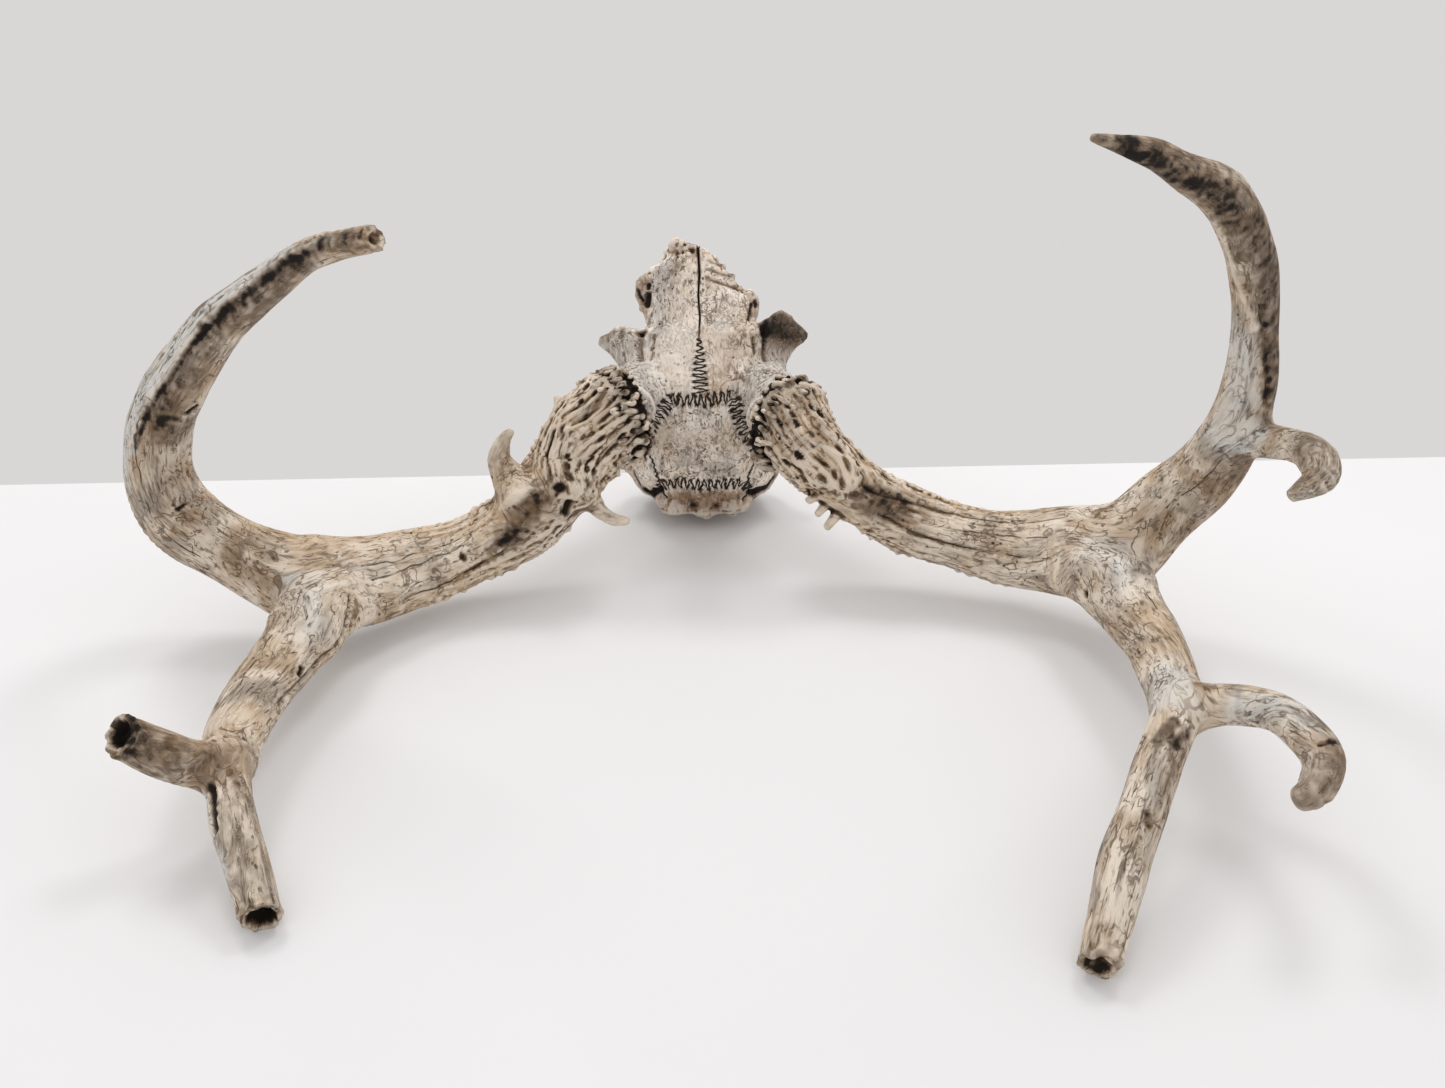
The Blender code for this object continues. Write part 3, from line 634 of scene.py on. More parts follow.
# Marks are (places, width, hardness, height, darkness, warmth) on each branch.  Cold ones,
# grey to bluish white, have a warmth below 0.
LEFT_MARKS = {
    "beam": (
        (((47, 123),), 4.0, 3, 2.6, -0.4, 0.3),
        (((52, 107),), 3.0, 3, -2.8, 1.3, 0.0),
        (((56, 132), (60, 138)), 2.4, 3, -2.6, 1.3, 0.0),
        (((64, 92), (77, 92), (89, 107)), 7.5, 2, -1.8, 0.75, 0.0),
        (((84, 100), (100, 112)), 3.0, 2, -1.0, 0.5, 0.0),
        (((115, 102),), 1.9, 3, -1.6, 1.3, 0.0),
        (((58, 95), (84, 100)), 16.0, 2, 0.0, 0.25, 0.1),
        (((118, 70), (150, 80), (180, 84)), 11.0, 2, 0.0, -0.2, -0.2),
        (LEFT_BEAM_FURROW, 1.6, 2, -0.8, 0.2, 0.0),
        (((95, 148), (132, 158), (165, 150)), 8.0, 3, 1.0, 0.0, 0.8),
        (LEFT_BEAM_UPPER_LINE, 1.2, 2, -0.35, 0.0, 0.0),
        (LEFT_BEAM_MIDDLE_LINE, 1.2, 2, -0.35, 0.0, 0.0),
        (((125, 18), (185, 20)), 9.0, 2, 0.0, -0.1, 0.9),
        (((100, 60), (130, 45)), 7.0, 2, 0.3, 0.1, 0.6),
    ),
    "brow tine": (
        (((26, 90), (44, 90)), 8.0, 2, 0.0, 0.45, 0.2),
        (((6, 150), (36, 150)), 5.0, 2, 0.0, -0.1, -0.6),
    ),
    "front tine": (
        (((0, 25), (45, 15)), 10.0, 2, 0.0, -0.1, 0.8),
        (((23, 98), (42, 89)), 8.0, 2, 0.0, 0.35, 0.0),
        (((34, 80), (8, 85)), 2.6, 2, 0.8, -0.4, -0.3),
        (
            ((126, 112), (149, 100), (165, 94), (184, 98), (203, 95), (237, 100), (294, 93)),
            2.2, 2, 1.5, -0.4, -0.6,
        ),
        (((126, 104), (149, 92), (165, 86), (186, 88), (206, 84)), 1.3, 2, -0.9, 0.9, 0.0),
        (((200, 84), (232, 84), (258, 86), (290, 84)), 2.8, 2, -0.9, 0.85, 0.0),
        (((150, 66), (190, 66), (232, 62), (270, 58)), 10.0, 2, 0.0, 0.8, -0.2),
        (((30, 60), (90, 70), (135, 62)), 13.0, 2, 0.0, 0.36, 0.0),
        (((110, 140), (160, 124), (226, 124), (262, 120)), 6.0, 3, 0.0, -0.15, -0.9),
        (((157, 24), (161, 10)), 1.5, 3, -1.2, 1.3, 0.0),
        (((90, 66), (91, 54)), 1.3, 3, -1.0, 1.3, 0.0),
        (((141, 65),), 8.0, 2, 0.0, 0.45, 0.0),
        (((286, 110), (300, 95)), 5.0, 2, 0.0, 0.55, -0.4),
        (((300, 90), (306, 90)), 7.0, 3, 0.0, 0.45, 0.9),
    ),
    "rear beam": (
        (((8, 166), (26, 103), (57, 109)), 2.8, 2, 1.0, -0.4, -0.3),
        (LEFT_REAR_FURROW, 1.5, 2, -1.2, 0.6, 0.0),
        (((20, -170), (44, -166), (75, 178)), 7.0, 2, 0.4, 0.0, 0.8),
        (((99, 80), (102, 131)), 10.0, 2, 0.0, 0.35, 0.0),
        (((77, 89),), 8.0, 2, 0.0, 0.25, 0.0),
        (((118, 60), (118, 110)), 8.0, 3, 0.0, -0.45, 0.6),
        (((68, 145), (71, 150)), 1.5, 3, -1.5, 1.3, 0.0),
        (((12, 70), (40, 100)), 16.0, 2, 0.0, 0.3, -0.5),
    ),
    "inner tine": (
        (((17, 72), (34, 62)), 2.4, 3, -1.8, 1.3, 0.0),
        (((18, 30), (50, 36)), 5.0, 3, 0.0, -0.4, -1.0),
        (((30, 120), (60, 110)), 12.0, 2, 0.0, 0.4, 0.1),
    ),
    "outer tine": (
        (((12, 60), (45, 60)), 15.0, 2, 0.0, 0.85, 0.0),
    ),
}
RIGHT_MARKS = {
    "beam": (
        (((4, 100), (22, 100)), 15.0, 2, 0.0, 0.3, 0.2),
        (((20, 96), (43, 86)), 12.5, 5, 1.9, -0.15, -0.15),
        (((30, 150), (55, 140)), 7.0, 2, 0.6, -0.1, 0.7),
        (((62, 100), (80, 110)), 6.0, 3, -1.2, 0.4, 0.0),
        (((60, 66), (78, 70)), 4.5, 2, -0.8, 0.3, 0.0),
        (((62, 90), (88, 92)), 11.0, 2, 0.0, 0.6, 0.0),
        (((84, 96), (130, 104)), 14.0, 2, 0.0, 0.25, 0.0),
        (RIGHT_BEAM_FURROW, 1.3, 2, -0.9, 0.25, 0.0),
        (RIGHT_BEAM_UPPER_LINE, 1.3, 2, -0.8, 0.25, 0.0),
        (((96, 90), (150, 100), (184, 96)), 9.0, 2, 0.3, -0.25, 0.1),
        (((90, 160), (150, 160)), 7.0, 2, 0.0, 0.0, 0.6),
        (((95, 12), (140, 8)), 4.0, 2, 0.0, 0.5, 0.0),
        (((110, 75), (135, 84)), 4.0, 2, 0.0, 0.3, -0.3),
    ),
    "front tine": (
        (((41, 68), (22, 60)), 2.8, 2, 1.0, -0.35, -0.3),
        (((30, 70), (84, 80)), 15.0, 2, 0.0, 0.55, 0.0),
        (((77, 47),), 9.0, 3, 0.0, 0.35, 0.3),
        (((97, 128), (124, 134), (144, 160)), 9.0, 2, 0.0, -0.3, -1.0),
        (((112, 115),), 3.0, 2, -0.4, 0.7, -0.4),
        (((92, 64), (104, 64)), 3.4, 2, -0.6, 0.8, 0.0),
        (RIGHT_FRONT_FURROW, 1.8, 2, -1.0, 0.5, 0.2),
        (((119, 40), (150, 58), (176, 72), (210, 94), (252, 106), (300, 112)), 12.0, 3, 0.0, 0.9, -0.3),
        (((226, 140), (262, 132), (284, 134), (318, 138)), 7.0, 2, -0.4, 0.4, 0.0),
        (((152, 118), (163, 136), (186, 166), (209, 178), (230, 186)), 1.8, 2, 1.0, -0.5, 0.2),
        (((225, 84), (271, 78), (300, 78)), 4.5, 2, 0.0, -0.3, 0.8),
        (((306, 100), (324, 90)), 10.0, 2, 0.0, 0.45, 0.0),
    ),
    "front hook": (
        (((10, 68), (24, 75)), 8.0, 2, 0.0, -0.3, -1.0),
        (((30, 110), (38, 105)), 4.0, 2, -0.4, 0.7, 0.0),
        (((44, 80), (70, 70)), 10.0, 2, 0.0, 0.4, 0.1),
        (((70, 0), (103, 16)), 9.0, 2, 0.0, 0.55, 0.1),
    ),
    "rear beam": (
        (((15, 5), (29, 82), (64, 92)), 2.8, 2, 1.0, -0.4, -0.3),
        (((38, 5),), 1.9, 3, -1.8, 1.3, 0.0),
        (((10, 70), (34, 90)), 16.0, 2, 0.0, 0.3, -0.6),
        (((42, 78), (49, 57), (82, 40), (95, 45)), 8.0, 2, 0.0, 0.35, -0.3),
        (((26, 132), (36, 118)), 5.0, 2, 0.0, 0.45, -0.2),
        (((82, 98), (108, 90)), 10.0, 3, 0.0, -0.15, 1.0),
        (((122, 66), (136, 48)), 9.0, 2, 0.0, -0.1, -1.0),
    ),
    "rear hook": (
        (((13, 154), (8, 160)), 3.5, 2, 0.0, 0.7, 0.0),
        (((64, 117), (68, 122)), 3.0, 2, 0.0, 0.7, 0.0),
        (RIGHT_HOOK_FURROW, 0.9, 2, -1.2, 0.9, 0.0),
        (((84, 90), (102, 90)), 11.0, 2, 0.0, 0.7, 0.2),
        (((24, 90), (66, 90)), 9.0, 2, 0.0, 0.1, -0.7),
    ),
    "rear tine": (
        (((6, 70),), 9.0, 2, 0.0, -0.35, -0.8),
        (((20, 64), (31, 44)), 3.2, 4, -0.4, 1.0, -0.3),
        (((19, 112), (24, 99), (30, 88)), 2.6, 2, -1.6, 0.95, 0.0),
        (((26, 112), (52, 112)), 6.0, 2, 0.0, 0.45, 0.3),
        (((40, 90), (110, 90)), 12.0, 2, 0.0, 0.15, -0.3),
        (((67, 80), (71, 90)), 1.8, 3, -0.6, 0.9, 0.2),
        (((110, 60), (122, 60)), 7.0, 2, 0.8, 0.1, 0.3),
    ),
}

CRACK_WAVER = 0.8               # how far cracks waver, and over what length
CRACK_WAVE = 6.0
# Cracks are routes on each branch, thinner than any mark.
LEFT_CRACKS = {
    "beam": (
        LEFT_BEAM_FURROW,
        LEFT_BEAM_UPPER_LINE,
        LEFT_BEAM_MIDDLE_LINE,
    ),
    "front tine": (
        ((60, 120), (110, 100), (160, 108)),
    ),
    "rear beam": (
        LEFT_REAR_FURROW,
        ((60, 60), (96, 70)),
    ),
}
RIGHT_CRACKS = {
    "beam": (
        RIGHT_BEAM_FURROW,
        RIGHT_BEAM_UPPER_LINE,
        ((120, 100), (168, 108)),
    ),
    "front tine": (
        RIGHT_FRONT_FURROW,
        ((40, 96), (84, 100)),
    ),
    "rear beam": (
        ((50, 110), (110, 122)),
    ),
    "rear hook": (
        RIGHT_HOOK_FURROW,
    ),
    "rear tine": (
        ((40, 60), (96, 72)),
    ),
}


def beside(bar, place, route):
    """Distance of surface points from a route of (s, turn) places, measured on the branch
    unrolled to (s, turn * radius); the side they lie on, 1 or -1; and whether they are
    past an end."""
    s, offset = place
    size = bar.along(s, bar.size)
    turn = np.degrees(np.arctan2(offset[:, 1] / size[:, 1], offset[:, 0] / size[:, 0]))
    middle = sum(turned for _, turned in route) / len(route)
    turn = (turn - middle + 180.0) % 360.0 - 180.0 + middle
    radius = np.sqrt(size[:, 0] * size[:, 1])
    away = np.full(len(s), np.inf)
    side = np.ones(len(s))
    past = np.zeros(len(s), bool)
    pairs = list(zip(route, route[1:] or route))
    for k, (start, end) in enumerate(pairs):
        step_s = end[0] - start[0]
        step_a = np.radians(end[1] - start[1]) * radius
        from_s = s - start[0]
        from_a = np.radians(turn - start[1]) * radius
        square = step_s ** 2 + step_a ** 2 + TINY
        share = np.clip((from_s * step_s + from_a * step_a) / square, 0.0, 1.0)
        here = np.hypot(from_s - share * step_s, from_a - share * step_a)
        nearer = here < away
        away = np.where(nearer, here, away)
        side = np.where(nearer, np.where(step_s * from_a > step_a * from_s, 1.0, -1.0), side)
        outside = ((k == 0) & (share <= 0.0)) | ((k == len(pairs) - 1) & (share >= 1.0))
        past = np.where(nearer, outside, past)
    return away, side, past


def read_marks(marks, bars, weights, places, points):
    """Sum of the marks at every point: height, darkness and warmth.

    The distance from a mark's route is stretched and shrunk by noise, which frays its
    outline, and noise breaks a darkness below SOLID into patches.
    """
    totals = np.zeros((len(points), 3))
    patches = 0.35 * noise(points, PATCH, 35) + 0.1 * noise(points, WIDE_PATCH, 36)
    patchy = np.clip(0.9 + patches, 0.3, 1.2)
    frayed = 0.2 * noise(points, FRAY, 33)
    for branch, rows in marks.items():
        k = list(bars).index(branch)
        on_branch = soft_step(0.1, 0.4, weights[:, k])
        for route, width, hardness, *values in rows:
            away, _, _ = beside(bars[branch], places[k], route)
            away = away * (1.0 + 0.35 * noise(points, 1.2 * width, 31) + frayed)
            added = (strength(away, width, hardness) * on_branch)[:, None] * np.array(values)
            if 0.0 < values[1] < SOLID:
                added[:, 1] *= patchy
            totals += added
    return totals


def read_cracks(cracks, bars, weights, places, points):
    """Signed distance to the nearest crack, and FAR past its ends and on other branches."""
    nearest = np.full(len(points), FAR)
    wavering = CRACK_WAVER * noise(points, CRACK_WAVE, 37)
    for branch, routes in cracks.items():
        k = list(bars).index(branch)
        off_branch = weights[:, k] < 0.6
        for route in routes:
            away, side, past = beside(bars[branch], places[k], route)
            signed = np.where(past | off_branch, FAR, side * away + wavering)
            nearest = np.where(np.abs(signed) < np.abs(nearest), signed, nearest)
    return nearest


# Broken branch ends: (branch, lean of the break towards the viewer, depth of the hollow,
# share of the width that is hollow).
LEFT_BREAKS = (
    ("outer tine", 0.9, 6.5, 0.72),
    ("inner tine", 0.5, 6.5, 0.72),
    ("front tine", 0.4, 1.2, 0.5),
)
RIGHT_BREAKS = (("rear tine", 0.5, 2.2, 0.7),)
BREAK_WIDTH = 16.0              # of the bar that is cut away beyond a broken end
BREAK_LENGTH = 15.0
SET_BACK = 0.6                  # of a leaning break's middle, over its rise across the end
FULL_SHADE_DEPTH = 4.0               # a hollow of this depth is painted black inside, as its shade
RIM_SPREAD = 3.0                # how far a broken rim is jagged
RIM_TOOTH = 2.6
RIM_HEIGHT = 1.3

# Places where the branches run into each other without a crease, and how far round them.
LEFT_BRANCHINGS = ((LEFT_FORK, 62.0), (LEFT_REAR_FORK, 30.0))
RIGHT_BRANCHINGS = ((RIGHT_FORK, 60.0), (RIGHT_REAR_FORK, 32.0), (RIGHT_HOOK_FORK, 26.0))
SMOOTHINGS = 140
WEB_LEAD = 30.0                 # a web's grain starts so far before the end of its beam


def break_bar(bar, lean):
    """The space beyond a broken end, as a bar whose start is the break: a plane turned
    from the branch's own by the lean, and set back so that it cuts the end whole."""
    way = unit(bar.forward[-1] + lean * unit(np.array(VIEWER)))
    steep = math.sqrt(1.0 / float(way @ bar.forward[-1]) ** 2 - 1.0)
    past = BROKEN * BREAK_WIDTH - SET_BACK * steep * bar.size[-1].min()
    start = bar.centre[-1] + past * bar.forward[-1]
    ends = (start, start + BREAK_LENGTH * way)
    path = [(tuple(place), BREAK_WIDTH, BREAK_WIDTH) for place in ends]
    return Bar(path, faces=UP, shift=0.0, cap=BROKEN)


def left_bars():
    """Branches of the left antler by name; the grain of each runs on from its parent."""
    beam = Bar(LEFT_BEAM)
    rear = Bar(LEFT_REAR_BEAM, start=beam.length)
    fork = rear.start + rear.length
    return {
        "beam": beam,
        "front tine": Bar(LEFT_FRONT_TINE, cap=BLUNT, start=beam.length, lead=True),
        "rear beam": rear,
        "outer tine": Bar(LEFT_REAR_TINE_OUTER, cap=BROKEN, start=fork, lead=True),
        "inner tine": Bar(LEFT_REAR_TINE_INNER, cap=BROKEN, start=fork, lead=True),
        "web": Bar(LEFT_WEB, start=beam.length - WEB_LEAD),
        "brow tine": Bar(LEFT_BROW_TINE, start=70.0),
        "prong": Bar(LEFT_PRONG, cap=0.9, start=45.0),
        "spike": Bar(LEFT_SPIKE, start=20.0),
    }


def right_bars():
    """Branches of the right antler by name; the grain of each runs on from its parent."""
    beam = Bar(RIGHT_BEAM)
    rear = Bar(RIGHT_REAR_BEAM, start=beam.length)
    fork = rear.start + rear.length
    return {
        "beam": beam,
        "front tine": Bar(RIGHT_FRONT_TINE, start=beam.length, lead=True),
        "front hook": Bar(RIGHT_FRONT_HOOK, start=beam.length + 112.0),
        "rear beam": rear,
        "rear hook": Bar(RIGHT_REAR_HOOK, start=fork, lead=True),
        "rear tine": Bar(RIGHT_REAR_TINE, cap=BLUNT, start=fork, lead=True),
        "web": Bar(RIGHT_WEB, start=beam.length - WEB_LEAD),
        "upper prong": Bar(RIGHT_PRONG_UPPER, start=45.0, soft=0.3),
        "middle prong": Bar(RIGHT_PRONG_MIDDLE, start=48.0, soft=0.3),
        "lower prong": Bar(RIGHT_PRONG_LOWER, start=50.0, soft=0.3),
    }


def broken_end(bar, cut, points, depth, reach):
    """Hollow and jagged rim of a broken branch.

    The hollow is depth * (1 - r^4), where r is the distance from the middle of the break
    over its reach.  Returns the height, the black painted into the hollow as its shade,
    and how near the break is.
    """
    gap, _, offset = cut.gap(points)
    radius = np.hypot(offset[:, 0], offset[:, 1]) / (reach * bar.size[-1].min())
    on_break = 1.0 - soft_step(0.6, 1.8, np.abs(gap))
    hollow = on_break * np.clip(1.0 - radius ** 4, 0.0, 1.0) * (1.0 + 0.3 * noise(points, 2.4, 23))
    near = np.exp(-(gap / RIM_SPREAD) ** 2) * (radius < 2.0 / reach)
    hollow_shade_black = soft_step(0.12, 0.6, hollow) * min(1.0, depth / FULL_SHADE_DEPTH)
    jagged = near * RIM_HEIGHT * noise(points, RIM_TOOTH, 29)
    return jagged - depth * hollow, hollow_shade_black, near


def antler_skin(name, bars, breaks, branchings, voxel):
    """The plain form of an antler, its broken ends cut off and its forks smooth."""
    whole = list(bars.values())
    cuts = [break_bar(bars[branch], lean) for branch, lean, _, _ in breaks]

    def distance(points):
        gap = union_gap(whole, points)
        for cut in cuts:
            gap = -merge(-gap, cut.gap(points)[0], CUT_BLEND)
        return gap

    skin = Skin(name, whole, voxel, cuts)
    skin.draw_onto(distance)
    for place, reach in branchings:
        skin.soften(np.array(place) + CENTRING, reach, SMOOTHINGS)
    return skin


# What stands on an antler: (size, share), where a share of 0.1 draws the pattern out along
# the grain to ten times its size.
RIDGES = (3.1, 0.15)
GUTTERS = (5.4, 0.12)
FIBRES = (2.1, 0.12)
PEARLS = (4.6, 0.6)
BUMPS = (4.4, 0.8)
PITS = (3.9, 0.5)
SWELLS = 26.0                   # size of the slow rise and fall of the whole surface
SWAY = 17.0                     # size and reach of the swaying of the grain
SWAY_REACH = 1.7
PEARLS_END = (22.0, 70.0)       # distances from the burr between which the pearls die out
RIDGES_END = (45.0, 190.0)
BUMPS_END = (120.0, 175.0)
SUNK = 0.4                      # taken off everywhere, so that the relief keeps the size
ANTLER_HOLLOWS = ((3, 0.15), (24, 0.8))     # small and wide ones: smoothings, depth


def drawn_out(grain, pattern, salt, kind=noise, **more):
    """A pattern (size, share) on the grain, its length along the grain size / share."""
    size, share = pattern
    return kind(grain * np.array([1.0, 1.0, share]), size, salt, **more)


def antler_zones(bars, weights, places, along):
    """How pearled and how rugged the surface is, both fading with the distance from the
    burr and weaker off the beam, and how near it is to the beam's two edges."""
    first = np.clip(weights[:, 0] * 1.4, 0.0, 1.0)
    pearled = (1.0 - soft_step(*PEARLS_END, along)) * (0.3 + 0.7 * first)
    rugged = (1.0 - soft_step(*RIDGES_END, along)) * (0.35 + 0.65 * first)
    s, offset = places[0]
    wide = bars["beam"].along(s, bars["beam"].size)[:, 0]
    edge = first * soft_step(0.72, 0.94, np.abs(offset[:, 0]) / wide)
    return pearled, rugged, edge * (1.0 - soft_step(*BUMPS_END, along))


def antler_height(points, grain, weights, zones, salt):
    """Height of the natural relief, and where its pits are.

    Ridges are 1 - |noise| with the noise drawn out along the grain and swayed sideways;
    pearls and pits are round domes.
    """
    pearled, rugged, edge = zones
    sway = [noise(points, SWAY, salt + 1), noise(points, SWAY, salt + 2), np.zeros(len(points))]
    swayed = grain + SWAY_REACH * np.stack(sway, axis=1)
    ridge = 1.0 - 2.4 * np.abs(drawn_out(swayed, RIDGES, salt))
    fine = drawn_out(swayed, FIBRES, salt + 5)
    pearl = drawn_out(grain, PEARLS, salt + 7, domes, fill=0.45)
    bumps = drawn_out(grain, BUMPS, salt + 11, domes, fill=0.8)
    gutter = np.clip(drawn_out(swayed, GUTTERS, salt + 13), -1.0, 0.0)
    pit = drawn_out(swayed, PITS, salt + 17, domes, fill=0.5)
    height = rugged * (0.62 * ridge + 0.75 * gutter) + (0.10 + 0.36 * rugged) * fine
    height *= np.clip(2.0 * weights.max(axis=1) - 1.0, 0.1, 1.0)
    height += 0.9 * layered(points, SWELLS, salt + 19, 2)
    height += pearled * (1.7 * pearl + 0.35 * ridge - 2.4 * pit) + 1.9 * edge * bumps
    return height, pit


def antler_relief(skin, bars, marks, cracks, breaks, salt):
    """Carve the natural relief, the marks and the broken ends into the skin; store what
    the material reads."""
    points = skin.points
    bars = {branch: bar for branch, bar in bars.items() if branch != "web"}
    weights, places, grain = grown(list(bars.values()), points)
    along = grain[:, 2]
    zones = antler_zones(bars, weights, places, along)
    height, pit = antler_height(points, grain, weights, zones, salt)
    marked = read_marks(marks, bars, weights, places, points)
    height += marked[:, 0]
    hollow = np.zeros(len(points))
    scorched = np.zeros(len(points))
    # The hollows of the broken ends are painted black, as their shade, through dark and cavity.
    for branch, lean, depth, reach in breaks:
        cut = break_bar(bars[branch], lean)
        rough, hollow_shade, near = broken_end(bars[branch], cut, points, depth, reach)
        height += rough
        hollow = np.maximum(hollow, hollow_shade)
        scorched = np.maximum(scorched, near)
    skin.push(height - SUNK)
    skin.points[:, 2] = np.maximum(skin.points[:, 2], 0.0)
    pearled, rugged, _ = zones
    cavity = skin.cavity(ANTLER_HOLLOWS)
    # Darker near the burr, and the sunk pits painted dark as their shade.
    darker_base_and_pit_shade = 0.4 * (1.0 - soft_step(14.0, 44.0, along)) * (0.6 + 0.6 * noise(points, 8.0, salt + 29))
    darker_base_and_pit_shade += 1.2 * pearled * soft_step(0.15, 0.5, pit)
    singed = scorched * np.clip(0.4 + 0.8 * noise(points, 2.2, salt + 31), 0.0, 1.0)
    golden = rugged * np.clip(0.6 + 0.5 * noise(points, 14.0, salt + 37), 0.0, 1.0)
    skin.keep("grain", grain)
    skin.keep("crack", read_cracks(cracks, bars, weights, places, points))
    skin.keep("cavity", np.clip(cavity * (0.4 + 0.8 * rugged), -2.0, 2.8) + 2.2 * hollow)
    skin.keep("dark", np.clip(marked[:, 1] + 1.4 * hollow + 0.8 * singed + darker_base_and_pit_shade, -1.0, 1.5))
    skin.keep("warm", np.clip(marked[:, 2] + 0.6 * scorched + golden, -1.2, 1.2))
    skin.keep("rugged", rugged)


# ---------------------------------------------------------------- burrs

BURR_CENTRES = {-1: (-45.0, 70.5, 97.0), 1: (44.0, 67.0, 97.0)}     # skull frame
BURR_NORMAL = (0.82, -0.19, 0.48)       # of the right one; the left one mirrors it
BURR_RADIUS = 28.0
BURR_THICKNESS = 17.0
CORE_ROWS = (                           # up the axis, radius
    (-8.5, 20.0),
    (-3.0, 22.5),
    (1.0, 21.5),
    (7.5, 20.5),
)
CORE_CAP = 0.08
KNOB_CAP = 0.9
KNOB_BLEND = 0.9
BURR_LUMPS = (3.2, 0.6)                 # size, and share of the places that are filled
BURR_HOLES = (2.8, 0.4)
BURR_HOLLOWS = ((5, 0.115), (40, 0.55))
HALF_BURR = 0.5 * BURR_THICKNESS
GAP_SHADE_RADII = (BURR_RADIUS - 5.5, BURR_RADIUS - 1.8)     # painted shade in the gaps between knobs
GAP_SHADE_HEIGHTS = (HALF_BURR - 2.5, HALF_BURR + 2.0)
SKULL_PLACE = (1.0, 205.0, 1.3)
SKULL_PITCH = math.radians(80.0)


def to_world(points):
    """Skull-frame millimetres to world millimetres: the pitch about x, then the place."""
    c = math.cos(SKULL_PITCH)
    s = math.sin(SKULL_PITCH)
    turn = np.array([[1.0, 0.0, 0.0], [0.0, c, -s], [0.0, s, c]])
    return points @ turn.T + np.array(SKULL_PLACE) + CENTRING


def burr_axes(side):
    """Centre, outward axis and two directions across it, in the world frame."""
    x, f, u = BURR_NORMAL
    middle = np.array(BURR_CENTRES[side])
    centre, ahead = to_world(np.array([middle, middle + (side * x, f, u)]))
    axis = unit(ahead - centre)
    first = unit(np.cross(axis, UP))
    return centre, axis, first, np.cross(axis, first)


def finger(random):
    """A long knob that leans towards the beam: its sideways lean, and its stations
    (distance from the axis, distance along it, half width, half depth)."""
    reach = BURR_RADIUS * random.uniform(0.88, 1.05)
    wide = random.uniform(0.85, 1.5)
    start = HALF_BURR * random.uniform(-0.5, 0.2)
    tip = start + HALF_BURR * random.uniform(0.3, 0.9)
    return random.uniform(-0.035, 0.035), (
        (20.0, start - 1.5, 2.4, wide + 0.7),
        (reach - 1.6, start, 1.9, wide + 0.2),
        (reach - 1.0, 0.5 * (start + tip), 1.7, wide),
        (reach - 2.6, tip, 1.2, wide * 0.8),
    )


def stub(random):
    """A short knob behind the fingers."""
    reach = BURR_RADIUS * random.uniform(0.80, 0.96)
    wide = random.uniform(1.0, 2.0)
    return random.uniform(-0.03, 0.03), (
        (18.0, -0.5 * HALF_BURR, 2.2, wide),
        (reach - 2.0, -0.85 * HALF_BURR, 2.0, wide),
        (reach - 0.6, -0.75 * HALF_BURR, 1.5, wide * 0.8),
    )


def peg(random):
    """A short knob against the beam."""
    wide = random.uniform(0.9, 1.8)
    return random.uniform(-0.04, 0.04), (
        (18.5, 0.3 * HALF_BURR, 2.0, wide),
        (22.0, 0.9 * HALF_BURR, 1.8, wide),
        (23.4, HALF_BURR + random.uniform(1.0, 5.0), 1.2, wide * 0.7),
    )


KNOB_RINGS = (                  # kind, how many, and how unevenly they stand
    (finger, 40, 0.25),
    (stub, 24, 0.3),
    (peg, 26, 0.3),
)


def burr_bars(side, seed):
    """A low core and the rings of knobs round it."""
    centre, axis, first, second = burr_axes(side)
    random = np.random.default_rng(seed)
    core = [(centre + up * axis, wide, wide) for up, wide in CORE_ROWS]
    bars = [Bar(core, faces=second, shift=0.0, cap=CORE_CAP)]

    def place(turn, out, up):
        """Point at a turn round the axis, so far out and so far towards the beam."""
        return centre + out * (math.cos(turn) * first + math.sin(turn) * second) + up * axis

    for knob, count, uneven in KNOB_RINGS:
        for k in range(count):
            turn = 2.0 * math.pi * (k + random.uniform(-uneven, uneven)) / count
            lean, stations = knob(random)
            path = [
                (place(turn + j * lean, out, up), wide, deep)
                for j, (out, up, wide, deep) in enumerate(stations)
            ]
            aside = -math.sin(turn) * first + math.cos(turn) * second
            bars.append(Bar(path, faces=aside, shift=0.0, cap=KNOB_CAP))
    return bars


def burr_relief(skin, side, salt):
    """Small folds between the knobs; stores what the material reads, with shade painted into the gaps."""
    centre, axis, first, second = burr_axes(side)
    points = skin.points
    up = (points - centre) @ axis
    out = points - centre - up[:, None] * axis
    radius = np.linalg.norm(out, axis=1)
    around = np.arctan2(out @ second, out @ first) * BURR_RADIUS
    folded = np.stack([around, radius, 0.35 * up], axis=1)
    (lump, lumped), (hole, holed) = BURR_LUMPS, BURR_HOLES
    lumps = 0.6 * domes(points, lump, salt + 5, lumped) - 0.7 * domes(points, hole, salt + 11, holed)
    skin.push(0.5 * noise(folded, 2.0, salt) + 0.9 * layered(points, 5.0, salt + 1, 2) + lumps)
    cavity = skin.cavity(BURR_HOLLOWS)
    # Painted shade: darker deep in the ring between the knobs, and in the hollows.
    between = (1.0 - soft_step(*GAP_SHADE_RADII, radius)) * (1.0 - soft_step(*GAP_SHADE_HEIGHTS, np.abs(up)))
    blotched = 0.1 + 0.9 * soft_step(-0.3, 0.7, layered(points, 5.0, salt + 3, 2))
    dark = 1.3 * soft_step(0.1, 1.1, cavity) + 1.3 * between + blotched
    skin.keep("grain", np.stack([out @ first, out @ second, up], axis=1))
    skin.keep("cavity", np.clip(cavity, -2.0, 3.5))
    skin.keep("dark", np.clip(dark, 0.0, 1.5))
    skin.keep("warm", np.full(len(points), 0.75))
    skin.keep("rugged", np.ones(len(points)))
    skin.keep("crack", np.full(len(points), FAR))


# ---------------------------------------------------------------- skull

